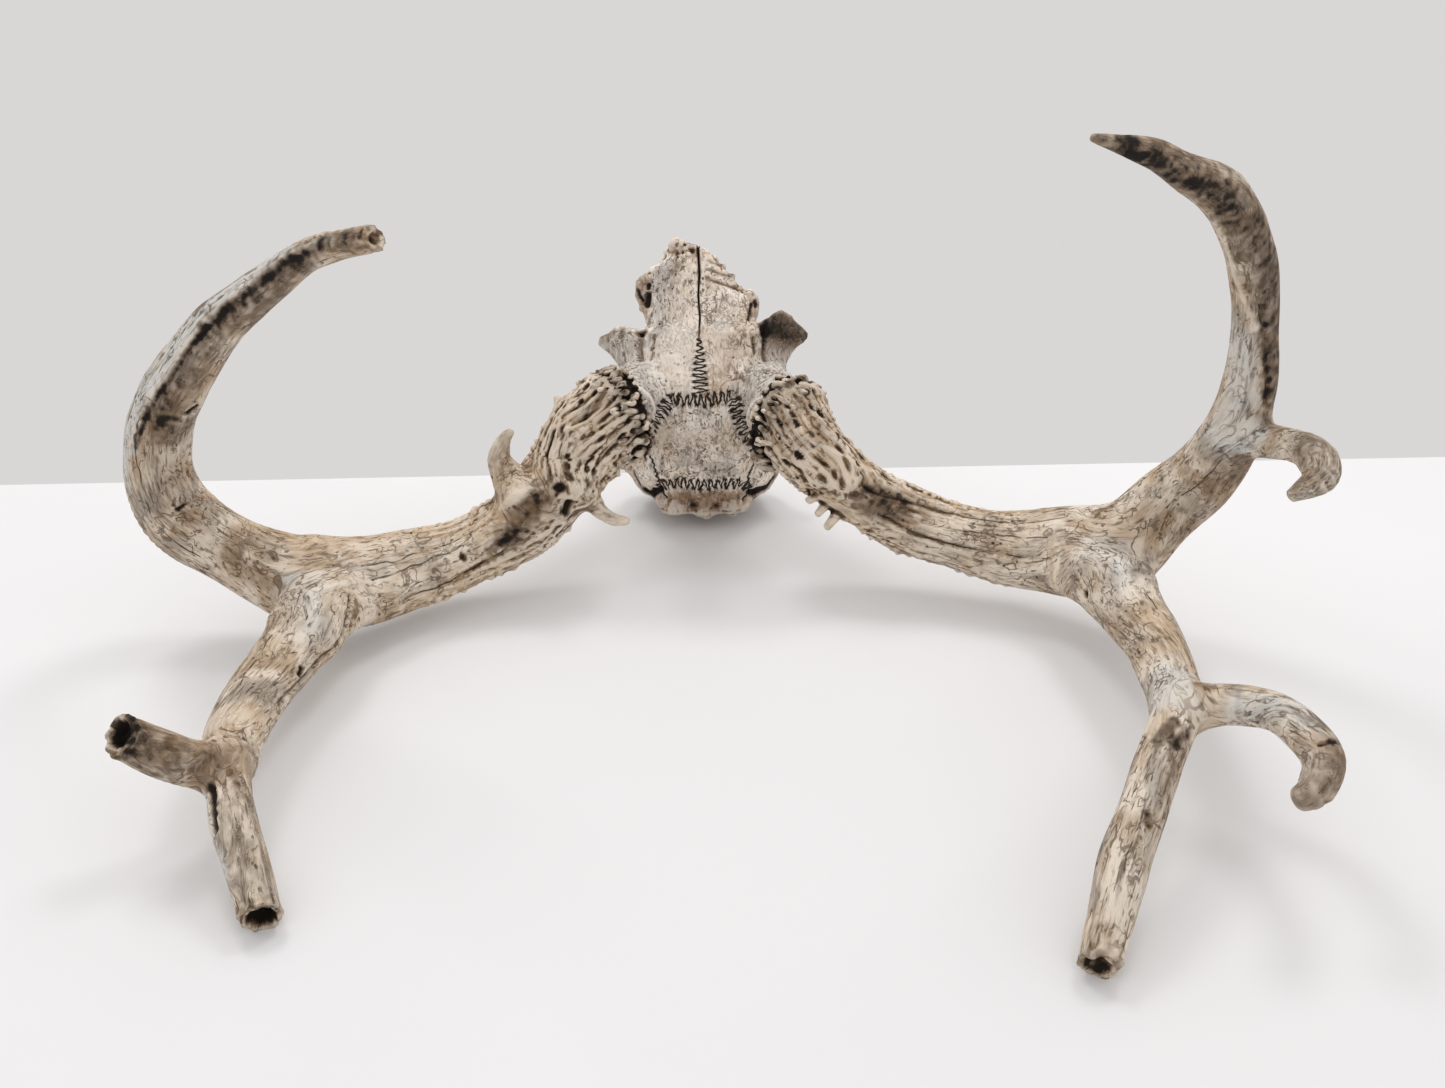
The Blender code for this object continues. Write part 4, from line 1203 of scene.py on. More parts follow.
AHEAD = (0.0, 1.0, 0.0)
EGG_STATIONS = (-0.98, -0.88, -0.7, -0.4, 0.0, 0.4, 0.7, 0.88, 0.98)
SKULL_LENGTH = 150.0
BREGMA = (73.0, 77.0)           # f, u where the frontals meet the parietal
FRONTAL_TIP_U = 46.0
PLATE_CROWN = 5.0 / 33.0 ** 2   # fall of the roof to each side
CRACK = (               # f, x of the line between the frontals
    (73.0, -1.0),
    (107.0, -1.9),
    (116.0, -1.4),
    (127.0, -2.3),
    (138.0, -1.7),
    (155.0, -2.6),
)
CRACK_START_F = 101.0
CRACK_OPENS = 14.0              # from there over so much of f
CRACK_HALF = 0.3
BONE_WALL = 1.2
BONE_BLEND = 5.0
FORAMEN = ((0, -4, 20), 8.5, 16, 8.5)
FORAMEN_BLEND = 2.0
OCCIPITAL_HALF = 26.0

CASE_ROWS = (                   # f, half width, bottom
    (2.5, 22.0, 22.0),
    (6.5, 29.0, 8.0),
    (13.0, 36.0, 2.0),
    (22.0, 41.0, 0.0),
    (38.0, 38.0, 1.0),
    (56.0, 34.0, 5.0),
    (74.0, 32.0, 12.0),
    (92.0, 30.0, 26.0),
    (106.0, 24.0, 40.0),
)
PLATE_ROWS = (                  # f, left reach, right reach, thickness
    (60.0, 29.0, 29.0, 20.0),
    (76.0, 33.0, 33.0, 24.0),
    (92.0, 32.0, 32.0, 22.0),
    (104.0, 29.5, 29.5, 20.0),
    (112.0, 31.0, 28.5, 17.0),
    (119.0, 34.0, 31.0, 14.0),
    (125.0, 36.0, 30.0, 12.0),
    (131.0, 35.5, 20.0, 11.0),
    (138.0, 31.0, 14.0, 10.0),
    (146.0, 22.0, 7.0, 8.5),
    (150.0, 20.0, 3.0, 7.5),
    (153.5, 18.5, -9.0, 6.0),
)
WINGS = {                       # distance from the middle, back, front, height, half thickness
    -1: (
        (18, 73, 113, 54, 8),
        (34, 74, 108.5, 55, 6),
        (44, 82, 110, 52, 3.6),
        (50, 91, 107, 50, 2.6),
        (57, 98, 103, 47, 2),
    ),
    1: (
        (18, 73, 113, 54, 8),
        (30, 74, 111, 55, 6.5),
        (38, 77, 115.5, 53, 4.4),
        (44, 83, 118, 51, 3.4),
        (50, 94, 113, 49, 2.6),
        (58, 101, 105.5, 47, 2),
    ),
}

# Sutures on the roof as (x, f) lines, and half the reach of their folds at each place.
CORONAL = (
    ((-36, 44), 2.6),
    ((-32, 48), 3.0),
    ((-29.5, 54), 3.0),
    ((-23, 66), 3.0),
    ((-17, 73.5), 2.6),
    ((0, 73), 3.0),
    ((16, 75), 3.0),
    ((20, 64), 2.8),
    ((24, 51), 3.0),
    ((30, 44), 2.6),
)
LAMBDOID = (
    ((-31, 9), 0.8),
    ((-22, 19), 2.4),
    ((-10, 20), 2.8),
    ((0, 18.5), 2.8),
    ((10, 20), 2.8),
    ((22, 19), 2.4),
    ((31, 9), 0.8),
)
SAGITTAL = (
    ((-1.0, 76.5), 3.6),
    ((-1.2, 84), 3.4),
    ((-1.5, 95), 2.3),
    ((-1.8, 106), 0.5),
)
LEFT_SQUAMA = (
    ((-33.5, 46), 0.4),
    ((-32, 40.5), 0.3),
    ((-27.6, 29), 0.3),
    ((-25, 15), 0.3),
    ((-21, 9), 0.2),
)
RIGHT_SQUAMA = (
    ((33, 46), 0.4),
    ((30.7, 35), 0.3),
    ((26, 23), 0.3),
    ((26.5, 12), 0.3),
    ((22, 8), 0.2),
)

# Strokes on the skull: (places (x, f, u), width, hardness, height, darkness, warmth), with
# the outline frayed by a share of the width.
STROKE_FRAY = 0.35
STROKES = (
    (((43, 112, 54), (50, 108, 52), (57, 103, 49)), 9.0, 3, 0.0, 0.9, 0.2),
    (((38, 108, 56), (44, 96, 55)), 8.0, 2, 0.0, 0.45, 0.0),
    (((-58, 100, 47), (-50, 107, 50)), 3.5, 2, 0.0, 0.6, 0.3),
    (((-30, 46, 56), (-36, 44, 46)), 5.0, 2, 0.0, 0.9, 0.0),
    (((27, 46, 62), (33, 44, 52)), 5.0, 2, 0.0, 0.8, 0.0),
    (((38, 42, 44), (42, 36, 32)), 5.0, 3, 0.0, 0.7, 0.0),
    # The next eight strokes: crevices on the occipital, painted dark as their shade, and two raised lobes
    # painted a little paler as their highlight.
    (((44, 17, 33), (36, 12.5, 42), (27, 12, 48.5)), 2.0, 3, -1.6, 1.3, 0.0),
    (((-41, 19, 36), (-31.5, 9, 44), (-25, 14, 51)), 2.0, 3, -1.6, 1.3, 0.0),
    (((-6, 5, 52), (-7, 1, 44)), 2.4, 2, -3.0, 1.0, 0.2),
    (((7, 5, 52), (8, 1, 44)), 2.4, 2, -3.0, 1.0, 0.2),
    (((-15, 5, 50), (-21, 7, 46)), 5.0, 2, 2.4, -0.2, 0.6),
    (((15, 5, 50), (20, 7, 46)), 5.0, 2, 2.4, -0.1, 0.6),
    (((-28, 9, 44), (-24, 6, 40)), 3.0, 2, -1.5, 0.8, 0.2),
    (((28, 9, 44), (25, 6, 40)), 3.0, 2, -1.5, 0.8, 0.2),
    (((-12, 10, 52), (12, 10, 52)), 7.0, 2, 0.0, 0.2, 0.6),
    # Grooves between the roof's edge and the wings, painted dark as their shade.
    (((-34, 114, 57), (-34, 108, 58)), 2.6, 3, -2.8, 1.1, 0.0),
    (((-34, 108, 58), (-34, 96, 61), (-33, 86, 65)), 1.8, 2, -2.0, 0.75, 0.0),
    (((33, 115, 57), (34, 108, 58)), 2.6, 3, -2.8, 1.1, 0.0),
    (((34, 108, 58), (34, 98, 60), (34, 88, 65)), 1.8, 2, -2.0, 0.75, 0.0),
)
# And on its roof, where a place is (x, f).
ROOF_STROKES = (
    (((-34, 121), (-33.5, 132)), 5.5, 4, 1.0, 0.5, 0.8),
    # Holes in the spongy bulge, painted black as their shade.
    (((-30.5, 121.5), (-29.5, 126)), 1.7, 3, -2.2, 1.3, 0.0),
    (((-29.5, 130), (-29.5, 132)), 1.1, 3, -1.4, 1.2, 0.0),
    (((-35, 128), (-33, 124)), 1.0, 3, -1.0, 0.9, 0.0),
    (((-33, 113.5),), 2.6, 3, 0.8, 0.3, 0.6),
    (((-16, 139), (-13, 142.5)), 2.6, 2, -0.3, 0.5, 0.4),
    (((-22, 151), (-14, 152)), 3.6, 2, 0.4, 0.3, 0.8),
    (((-3, 150), (-8, 153)), 2.4, 2, 0.3, 0.4, 0.7),
    (((2, 136), (18, 130.5)), 0.9, 2, -0.5, 0.9, 0.2),
    (((2, 141), (15, 136)), 0.8, 2, -0.4, 0.7, 0.2),
    (((3, 145), (10, 142)), 0.8, 2, -0.4, 0.6, 0.2),
    (((22, 129), (14, 139), (8, 147)), 1.8, 2, 0.4, 0.45, 0.7),
    (((28, 126), (28.5, 117)), 3.6, 4, 1.0, 0.4, 0.8),
    # These dark lines under the roof's edge, above the wings, are painted shade.
    (((26.5, 122), (25, 114)), 0.9, 3, -0.9, 1.0, 0.0),
    (((29, 121), (28.5, 123)), 1.2, 3, -1.0, 1.1, 0.0),
    (((27.5, 105), (28.5, 97)), 1.0, 3, -0.9, 1.0, 0.0),
    (((-26.5, 106), (-28, 94)), 0.9, 3, -0.7, 0.8, 0.0),
    (((-24, 136), (-20, 143)), 9.0, 2, 0.0, 0.15, -0.8),
    (((-24, 130), (-24, 114)), 8.0, 2, 0.0, 0.1, -0.6),
    (((-16, 98), (-10, 80)), 12.0, 2, 0.0, -0.45, 0.2),
    (((-12, 126), (-10, 106)), 8.0, 2, 0.0, -0.25, 0.2),
    (((12, 118), (10, 84)), 9.0, 2, 0.0, -0.3, 0.2),
    (((0, 56), (0, 34)), 13.0, 2, 0.0, 0.1, 0.1),
    (((14, 92), (7, 82)), 8.0, 2, 0.0, 0.1, 0.8),
    (((14, 104), (20, 110)), 7.0, 2, 0.0, 0.0, 0.35),
)


def roof_u(f):
    """Height of the skull roof along its middle line: up to the bregma, then down."""
    bregma_f, bregma_u = BREGMA
    return float(np.interp(f, (-2.0, bregma_f, SKULL_LENGTH), (50.0, bregma_u, FRONTAL_TIP_U)))


def sink(f):
    """Depth of the braincase under the roof line: the frontals lie over it in front."""
    return float(np.interp(f, (62.0, 88.0), (1.0, 9.0)))


def skull_bar(path, **more):
    """A bar in the skull frame, its depth measured towards the roof."""
    return Bar(path, faces=UP, shift=0.0, **more)


def egg(centre, wide, long, high):
    """An ellipsoid: sections of half width wide * sqrt(1 - t^2), t from -1 to 1 along it."""
    x, f, u = centre
    path = [
        ((x, f + t * long, u), wide * math.sqrt(1.0 - t * t), high * math.sqrt(1.0 - t * t))
        for t in EGG_STATIONS
    ]
    return skull_bar(path, cap=0.1, level=AHEAD)


def middle_bars():
    """The skull's forms that lie across its middle, by name."""
    case = [
        ((0, f, 0.5 * (roof_u(f) - sink(f) + low)), half, 0.5 * (roof_u(f) - sink(f) - low))
        for f, half, low in CASE_ROWS
    ]
    plate = [
        ((0.5 * (right - left), f, roof_u(f) - 0.5 * thick), 0.5 * (left + right), 0.5 * thick)
        for f, left, right, thick in PLATE_ROWS
    ]
    crest = (
        ((-32, 12, 38), 4, 4),
        ((-19, 6, 47), 4, 4),
        ((0, 4.5, 50), 4.5, 3.5),
        ((19, 6, 47), 4, 4),
        ((32, 12, 38), 4, 4),
    )
    keel = (
        ((0, 8, 3), 8, 4),
        ((0, 40, 2), 7, 4),
        ((0, 70, 12), 6, 5),
        ((0, 98, 33), 5, 6),
    )
    return {
        "case": skull_bar(case, cap=0.14, power=2.6, level=AHEAD),
        "plate": skull_bar(plate, cap=0.3, power=3.0, crown=PLATE_CROWN, level=AHEAD),
        "crest": skull_bar(crest),
        "knob": egg((1, 0.8, 48.5), 4.5, 4.5, 4.5),
        "left lobe": egg((-17, 4.0, 47), 8, 5.0, 5.5),
        "right lobe": egg((17, 4.0, 47), 8, 5.0, 5.5),
        "keel": skull_bar(keel, cap=0.3),
    }


def side_bars(side):
    """The forms of one side of the skull, -1 for the left, by name."""
    x, f, u = BURR_NORMAL
    seat = np.array(BURR_CENTRES[side]) - 0.3 * BURR_THICKNESS * unit(np.array([side * x, f, u]))
    pedicle = (
        ((side * 27, 80, 46), 17, 15),
        ((side * 34, 77, 62), 16, 15),
        ((side * 41, 73, 78), 15, 15),
        (tuple(seat), 16, 16),
    )
    wing = [
        ((side * x, 0.5 * (back + front), u), 0.5 * (front - back), half)
        for x, back, front, u, half in WINGS[side]
    ]
    root = (
        ((side * 30, 24, 26), 13, 8),
        ((side * 41, 28, 27), 11, 6),
        ((side * 46, 33, 29), 8, 4),
    )
    return {
        f"pedicle {side}": skull_bar(pedicle, cap=0.15),
        f"wing {side}": skull_bar(wing, power=2.3, level=(side, 0.0, 0.0)),
        f"root {side}": skull_bar(root),
        f"mastoid {side}": egg((side * 33, 16, 24), 9, 11, 18),
        f"condyle {side}": egg((side * 15, 5.0, 12), 9, 6.5, 12),
        f"bulla {side}": egg((side * 17, 34, 3), 7, 11, 6),
    }


def line_place(points, route):
    """Place of roof points along a suture: arc length, signed distance, and fold reach."""
    corners = np.array([place for place, _ in route], float)
    reach = np.array([value for _, value in route], float)
    steps = np.linalg.norm(np.diff(corners, axis=0), axis=1)
    starts = np.concatenate([[0.0], np.cumsum(steps)])
    best = np.full(len(points), np.inf)
    found = np.zeros((len(points), 3))
    for k, length in enumerate(steps):
        way = (corners[k + 1] - corners[k]) / length
        from_start = points[:, :2] - corners[k]
        share = np.clip(from_start @ way / length, 0.0, 1.0)
        offset = from_start - share[:, None] * way * length
        away = np.linalg.norm(offset, axis=1)
        signed = way[0] * from_start[:, 1] - way[1] * from_start[:, 0]
        past_end = ((k == 0) & (share <= 0.0)) | ((k == len(steps) - 1) & (share >= 1.0))
        nearer = away < best
        best = np.where(nearer, away, best)
        row = np.stack([
            starts[k] + share * length,
            np.where(past_end, FAR, np.copysign(away, signed)),
            reach[k] + (reach[k + 1] - reach[k]) * share,
        ], axis=1)
        found = np.where(nearer[:, None], row, found)
    return found


def nearest_line(points, routes):
    """line_place for the nearest of several sutures that lie well apart."""
    found = [line_place(points, route) for route in routes]
    pick = np.argmin([np.abs(row[:, 1]) for row in found], axis=0)
    return np.take_along_axis(np.stack(found), pick[None, :, None], axis=0)[0]


def crack_x(f):
    """Where the line between the frontals lies at f."""
    return np.interp(f, [row[0] for row in CRACK], [row[1] for row in CRACK])


def skull_skin(bars, voxel):
    """The plain form of the skull with the opening for the spine, in the skull frame."""
    forms = list(bars.values())
    foramen = egg(*FORAMEN)

    def distance(points):
        whole = union_gap(forms, points, BONE_BLEND)
        return -merge(-whole, foramen.gap(points)[0], FORAMEN_BLEND)

    skin = Skin("skull", forms, voxel, cuts=(foramen,))
    skin.draw_onto(distance)
    return skin


# Uneven bone: (size, height), and how coarse all of it is.
SWELLING = (16.0, 0.7)
UNDERSIDE = (9.0, 0.9)
WING_EDGE = (6.0, 1.6)
COARSE_SIZE = 3.0
COARSE_HEIGHT = 0.16
SKULL_HOLLOWS = ((3, 0.16), (24, 1.1))
# Spongy bone, where it is broken, at the back and below: (size, filled share, height).
BROKEN_LUMPS = (4.6, 0.8, 2.6)
BROKEN_HOLES = (4.0, 0.5, 2.4)
BACK_LUMPS = (5.0, 0.6, 1.1)
BACK_HOLES = (5.5, 0.4, 1.0)
UNDER_HOLES = (6.0, 0.4, 0.9)
# Between which places a part of the skull fades in.
TOP_DEPTHS = (-28.0, -14.0)     # under the roof's middle line
ROOF_DEPTHS = (-9.0, -5.0)      # under the curved roof
BEHIND_F = (8.0, 20.0)
BROKEN_F = (100.0, 110.0)       # for the plate's sides
BROKEN_SHARE = (0.80, 0.97)     # of the plate's half width
BROKEN_FRONT = (16.0, 2.0)      # back from the plate's front edge
WING_EDGE_X = (38.0, 50.0)


def rolling(points, swell, salt, octaves):
    """Layered noise of a (size, height)."""
    size, height = swell
    return height * layered(points, size, salt, octaves)


def dented(points, dents, salt):
    """Round domes of a (size, filled share, height)."""
    size, fill, height = dents
    return height * domes(points, size, salt, fill)


def skull_zones(points, bars, weights, places):
    """Shares from 0 to 1 of every point in the parts of the skull that look different."""
    order = list(bars)

    def on_both(*forms):
        """Weight of these forms of the left and the right side."""
        return sum(weights[:, order.index(f"{form} {side}")] for form in forms for side in (-1, 1))

    plate_s, plate_offset = places[order.index("plate")]
    plate = bars["plate"]
    plate_share = np.abs(plate_offset[:, 0]) / plate.along(plate_s, plate.size)[:, 0]
    front = soft_step(*(plate.length - back for back in BROKEN_FRONT), plate_s)
    sideways = soft_step(*BROKEN_SHARE, plate_share) * soft_step(*BROKEN_F, points[:, 1])
    under = points[:, 2] - np.array([roof_u(f) for f in points[:, 1]])
    return {
        "broken": weights[:, order.index("plate")] * np.maximum(sideways, front),
        "top": soft_step(*TOP_DEPTHS, under),
        "outside": soft_step(*ROOF_DEPTHS, under + PLATE_CROWN * points[:, 0] ** 2),
        "behind": 1.0 - soft_step(*BEHIND_F, points[:, 1]),
        "sides": on_both("pedicle", "wing"),
        "wing edges": on_both("wing") * soft_step(*WING_EDGE_X, np.abs(points[:, 0])),
    }


def skull_height(points, zones, folded, straight):
    """Height of the skull's relief: swellings, broken spongy edges, and grooves along the
    sutures."""
    top = zones["top"]
    height = rolling(points, SWELLING, 101, 3) + COARSE_HEIGHT * noise(points, COARSE_SIZE, 107)
    spongy = dented(points, BROKEN_LUMPS, 109) - dented(points, BROKEN_HOLES, 113)
    height += zones["broken"] * (spongy + 0.8 * noise(points, 7.0, 127))
    height += zones["behind"] * (dented(points, BACK_LUMPS, 131) - dented(points, BACK_HOLES, 137))
    height += (1.0 - top) * (rolling(points, UNDERSIDE, 139, 2) - dented(points, UNDER_HOLES, 149))
    height -= 0.35 * top * strength(folded[:, 1], folded[:, 2] + 1.0, 4)
    height -= 0.30 * top * strength(straight[:, 1], straight[:, 2] + 0.8, 4)
    height += 0.25 * zones["sides"] * noise(points * np.array([1.0, 0.3, 1.0]), 2.2, 151)
    return height + zones["wing edges"] * rolling(points, WING_EDGE, 167, 2)


def read_strokes(points, outside):
    """Sum of the strokes at every point: height, darkness and warmth."""
    values = np.zeros((len(points), 3))
    for route, width, hardness, *stroke in (*STROKES, *ROOF_STROKES):
        on_roof = len(route[0]) == 2
        away = away_from_route(points[:, :2] if on_roof else points, route)
        away = away * (1.0 + STROKE_FRAY * noise(points, 1.3 * width, 157))
        shown = strength(away, width, hardness) * (outside if on_roof else 1.0)
        values += shown[:, None] * np.array(stroke)
    return values


def skull_relief(skin, bars):
    """Carve the relief and the strokes into the skin; returns what the material reads."""
    points = skin.points
    weights, places, _ = grown(list(bars.values()), points)
    zones = skull_zones(points, bars, weights, places)
    folded = nearest_line(points, (CORONAL, LAMBDOID))
    straight = nearest_line(points, (SAGITTAL, LEFT_SQUAMA, RIGHT_SQUAMA))
    values = read_strokes(points, zones["outside"])
    width = 0.6 + 0.25 * soft_step(118.0, 150.0, points[:, 1])
    in_crack = strength(np.abs(points[:, 0] - crack_x(points[:, 1])), width, 4)
    in_crack = in_crack * soft_step(CRACK_START_F - 1.0, CRACK_START_F + 6.0, points[:, 1]) * zones["top"]
    skin.push(skull_height(points, zones, folded, straight) + values[:, 0])
    broken, behind, top = (zones[name] for name in ("broken", "behind", "top"))
    cavity = skin.cavity(SKULL_HOLLOWS)
    # The strokes' darkness includes painted shade in crevices, grooves and holes.
    dark = values[:, 1] + 1.5 * in_crack + 0.25 * (1.0 - top) + 0.4 * behind
    warm = values[:, 2] + 0.9 * broken - 0.9 * zones["sides"] + 0.4 * behind
    return {
        "place": points,
        "folds": folded,
        "seams": straight,
        "cavity": np.clip(cavity * (0.45 + 0.55 * np.maximum(broken, behind)), -2.0, 2.5),
        "dark": np.clip(dark, -1.0, 1.5),
        "warm": np.clip(warm, -1.2, 1.2),
        "top": top,
        "rugged": 0.25 + 0.6 * np.maximum(broken, behind),
    }


def line_at(route, value, axis):
    """A suture's other coordinate where its x (axis 0) or f (axis 1) has a value."""
    corners = np.array([place for place, _ in route], float)
    if corners[0, axis] > corners[-1, axis]:
        corners = corners[::-1]
    return np.interp(value, corners[:, axis], corners[:, 1 - axis])


def bone_of(places):
    """Number of the bone that each place (x, f, u) belongs to, in the order of BONES."""
    x, f, _ = places.T
    frontal = f > line_at(CORONAL, x, 0)
    occipital = (f < line_at(LAMBDOID, x, 0)) & (np.abs(x) < OCCIPITAL_HALF)
    bone = np.where(x < line_at(LEFT_SQUAMA, f, 1), 4, np.where(x > line_at(RIGHT_SQUAMA, f, 1), 5, 2))
    bone = np.where(occipital, 3, bone)
    return np.where(frontal, np.where(x < crack_x(f), 0, 1), bone)


BONES = ("frontal_left", "frontal_right", "parietal", "occipital", "temporal_left", "temporal_right")
BONE_SLOTS = ("pale_bone", "pale_bone", "pale_bone", "warm_bone", "grey_bone", "grey_bone")


def opened_crack(points, faces, bones, number):
    """Points for one bone: where it meets the other frontal in front, the stepped border
    is drawn straight along the crack and back by the crack's half width."""
    if number > 1:
        return points
    count = len(points)
    mine = np.zeros(count, bool)
    mine[faces[bones == number].ravel()] = True
    other = np.zeros(count, bool)
    other[faces[bones == 1 - number].ravel()] = True
    border = mine & other & (points[:, 1] > CRACK_START_F)
    open_by = CRACK_HALF * soft_step(CRACK_START_F, CRACK_START_F + CRACK_OPENS, points[:, 1])
    side = -1.0 if number == 0 else 1.0
    moved = points.copy()
    moved[:, 0] = np.where(border, crack_x(points[:, 1]) + side * open_by, points[:, 0])
    return moved


def bone_shell(name, faces, points, inner, values):
    """A closed shell: the faces, the same faces turned round on the inner points, and a rim."""
    used, local = np.unique(faces, return_inverse=True)
    local = local.reshape(faces.shape)
    count = len(used)
    start = local.ravel()
    end = np.roll(local, -1, axis=1).ravel()
    open_edge = ~np.isin(start * count + end, end * count + start)
    a = start[open_edge]
    b = end[open_edge]
    rim = np.stack([b, a, a + count, b + count], axis=1)
    walls = np.vstack([local, local[:, ::-1] + count, rim]).tolist()
    piece = linked(name, to_world(np.vstack([points[used], inner[used]])), walls)
    mesh = piece.data
    mesh.shade_smooth()
    edges = np.sort(rows_of(mesh.edges, "vertices", 2, int) % count, axis=1)
    rim_edges = np.sort(np.stack([a, b], axis=1), axis=1)
    sharp = np.isin(edges @ (count, 1), rim_edges @ (count, 1))
    layer = mesh.attributes.new("sharp_edge", "BOOLEAN", "EDGE")
    layer.data.foreach_set("value", sharp)
    for word, column in values.items():
        store(mesh, word, np.concatenate([column[used], column[used]]))
    return piece


# ---------------------------------------------------------------- materials

SPECULAR = 0.2
BONE_ROUGHNESS = 0.8
BONE_BUMP = 0.0005              # metres


def linear(value):
    """Linear share of an sRGB value from 0 to 255."""
    share = value / 255
    return ((share + 0.055) / 1.055) ** 2.4 if value > 10 else share / 12.92


def ink(red, green, blue):
    """Linear colour of an sRGB colour given from 0 to 255."""
    return (linear(red), linear(green), linear(blue), 1.0)


class Paint:
    """A material written as sums of patterns; each method adds nodes and returns a socket."""

    def __init__(self, name, roughness):
        self.material = bpy.data.materials.new(name)
        self.material.use_nodes = True
        self.tree = self.material.node_tree
        self.shader = self.tree.nodes["Principled BSDF"]
        self.shader.inputs["Specular IOR Level"].default_value = SPECULAR
        self.shader.inputs["Roughness"].default_value = roughness

    def put(self, socket, value):
        """Link a socket into an input, or set the input's value."""
        if isinstance(value, bpy.types.NodeSocket):
            self.tree.links.new(value, socket)
        else:
            socket.default_value = value

    def node(self, kind, values, **settings):
        """A node with its settings, and its inputs filled by name or number."""
        node = self.tree.nodes.new(f"ShaderNode{kind}")
        for word, value in settings.items():
            setattr(node, word, value)
        for word, value in values.items():
            self.put(node.inputs[word], value)
        return node

    def number(self, name):
        """A point attribute that holds one number."""
        return self.node("Attribute", {}, attribute_name=name).outputs["Fac"]

    def vector(self, name):
        """A point attribute that holds three numbers."""
        return self.node("Attribute", {}, attribute_name=name).outputs["Vector"]

    def parts(self, vector):
        """The three numbers of a vector."""
        return self.node("SeparateXYZ", {0: vector}).outputs

    def maths(self, operation, *values):
        """One sum; MULTIPLY_ADD is the first times the second plus the third."""
        return self.node("Math", dict(enumerate(values)), operation=operation).outputs[0]

    def times(self, first, second):
        """first * second."""
        return self.maths("MULTIPLY", first, second)

    def scaled(self, vector, by, shift=(0.0, 0.0, 0.0)):
        """vector * by + shift."""
        node = self.node("VectorMath", {0: vector, 1: by, 2: shift}, operation="MULTIPLY_ADD")
        return node.outputs[0]

    def moved(self, vector, *shift):
        """The vector elsewhere, where the same kind of noise has other lumps."""
        return self.scaled(vector, (1.0, 1.0, 1.0), shift)

    def cloud(self, vector, size, detail=2.0, warp=0.0, rough=0.5):
        """Soft noise about 0.5 with lumps of a size, on a vector in the same unit."""
        values = {"Vector": vector, "Scale": 1.0 / size, "Detail": detail, "Roughness": rough}
        return self.node("TexNoise", {**values, "Distortion": warp}).outputs["Fac"]

    def sway(self, vector, size, reach):
        """Plain soft noise about 0, most of it between -reach and reach."""
        return self.maths("MULTIPLY_ADD", self.cloud(vector, size, 1.0), 2.0 * reach, -reach)

    def stirred(self, vector, size, reach):
        """The vector moved about by coloured noise, so that patterns on it lose their order."""
        noise_node = self.node("TexNoise", {"Vector": vector, "Scale": 1.0 / size, "Detail": 2.0})
        twice = self.scaled(noise_node.outputs["Color"], (2 * reach,) * 3, (-reach,) * 3)
        return self.node("VectorMath", {0: vector, 1: twice}, operation="ADD").outputs[0]

    def rise(self, value, low, high, bottom=0.0, top=1.0):
        """bottom below low, top above high, an S-curve between."""
        values = {"Value": value, "From Min": low, "From Max": high, "To Min": bottom, "To Max": top}
        node = self.node("MapRange", values, interpolation_type="SMOOTHSTEP")
        return node.outputs["Result"]

    def mix(self, share, first, second, blend="MIX"):
        """Colour between first and second."""
        node = self.node("Mix", {}, data_type="RGBA", blend_type=blend)
        self.put(node.inputs["Factor"], share)
        self.put(node.inputs[6], first)
        self.put(node.inputs[7], second)
        return node.outputs[2]

    def contours(self, value, count, width):
        """Thin lines where value * count passes a half: 1 on a line."""
        turn = self.maths("FRACT", self.times(value, count))
        away = self.maths("ABSOLUTE", self.maths("SUBTRACT", turn, 0.5))
        return self.rise(away, width, 0.4 * width)

    def dots(self, vector, size, radius, share):
        """Round dots on a share of the cells of a lattice: 1 inside a dot."""
        node = self.node("TexVoronoi", {"Vector": vector, "Scale": 1.0 / size, "Randomness": 1.0})
        chosen = self.maths("LESS_THAN", self.parts(node.outputs["Color"])[0], share)
        edge = radius / size
        return self.times(self.rise(node.outputs["Distance"], edge, 0.5 * edge), chosen)

    def folds(self, line, position, wave, half, wander):
        """Ink line of a folded suture: |v - A sin(2 pi s / wave)| over its own slope, from
        the vector (s, v, A), after s and v are shifted by noise."""
        s, v, reach = self.parts(line)[:3]
        pace = 2.0 * math.pi / wave
        drift = self.sway(position, 3.5, wander)
        aside = self.sway(self.moved(position, 40, 9, 4), 4.5, 1.3 * wander)
        angle = self.times(self.maths("ADD", s, drift), pace)
        crest = self.times(reach, self.maths("SINE", angle))
        slope = self.times(self.times(reach, pace), self.maths("COSINE", angle))
        steep = self.maths("SQRT", self.maths("MULTIPLY_ADD", slope, slope, 1.0))
        away = self.maths("ABSOLUTE", self.maths("SUBTRACT", self.maths("ADD", v, aside), crest))
        return self.rise(self.maths("DIVIDE", away, steep), half, 0.45 * half)

    def finish(self, colour, relief, depth):
        """Colour and bump; depth in metres for a relief of 1."""
        self.put(self.shader.inputs["Base Color"], colour)
        bump = self.node("Bump", {"Strength": 1.0, "Distance": depth, "Height": relief})
        self.put(self.shader.inputs["Normal"], bump.outputs["Normal"])
        return self.material


def clouded(paint, grain, tone):
    """Pale bone with clouds of tan and of grey, and with its warmer and colder parts."""
    warm = paint.number("warm")
    tan_cloud = paint.cloud(grain, 24.0, detail=3.0, warp=0.6)
    grey_place = paint.scaled(grain, (1.0, 1.0, 0.6), (90, 10, 0))
    grey_cloud = paint.cloud(grey_place, 17.0, detail=3.0, warp=0.8)
    ground = paint.mix(paint.rise(tan_cloud, 0.38, 0.60), tone.pale, tone.tan)
    ground = paint.mix(paint.rise(grey_cloud, 0.50, 0.66), ground, tone.grey)
    ground = paint.mix(paint.rise(warm, 0.0, 1.1, top=0.85), ground, tone.warm)
    return paint.mix(paint.rise(warm, 0.0, -1.0, top=0.85), ground, tone.cold)


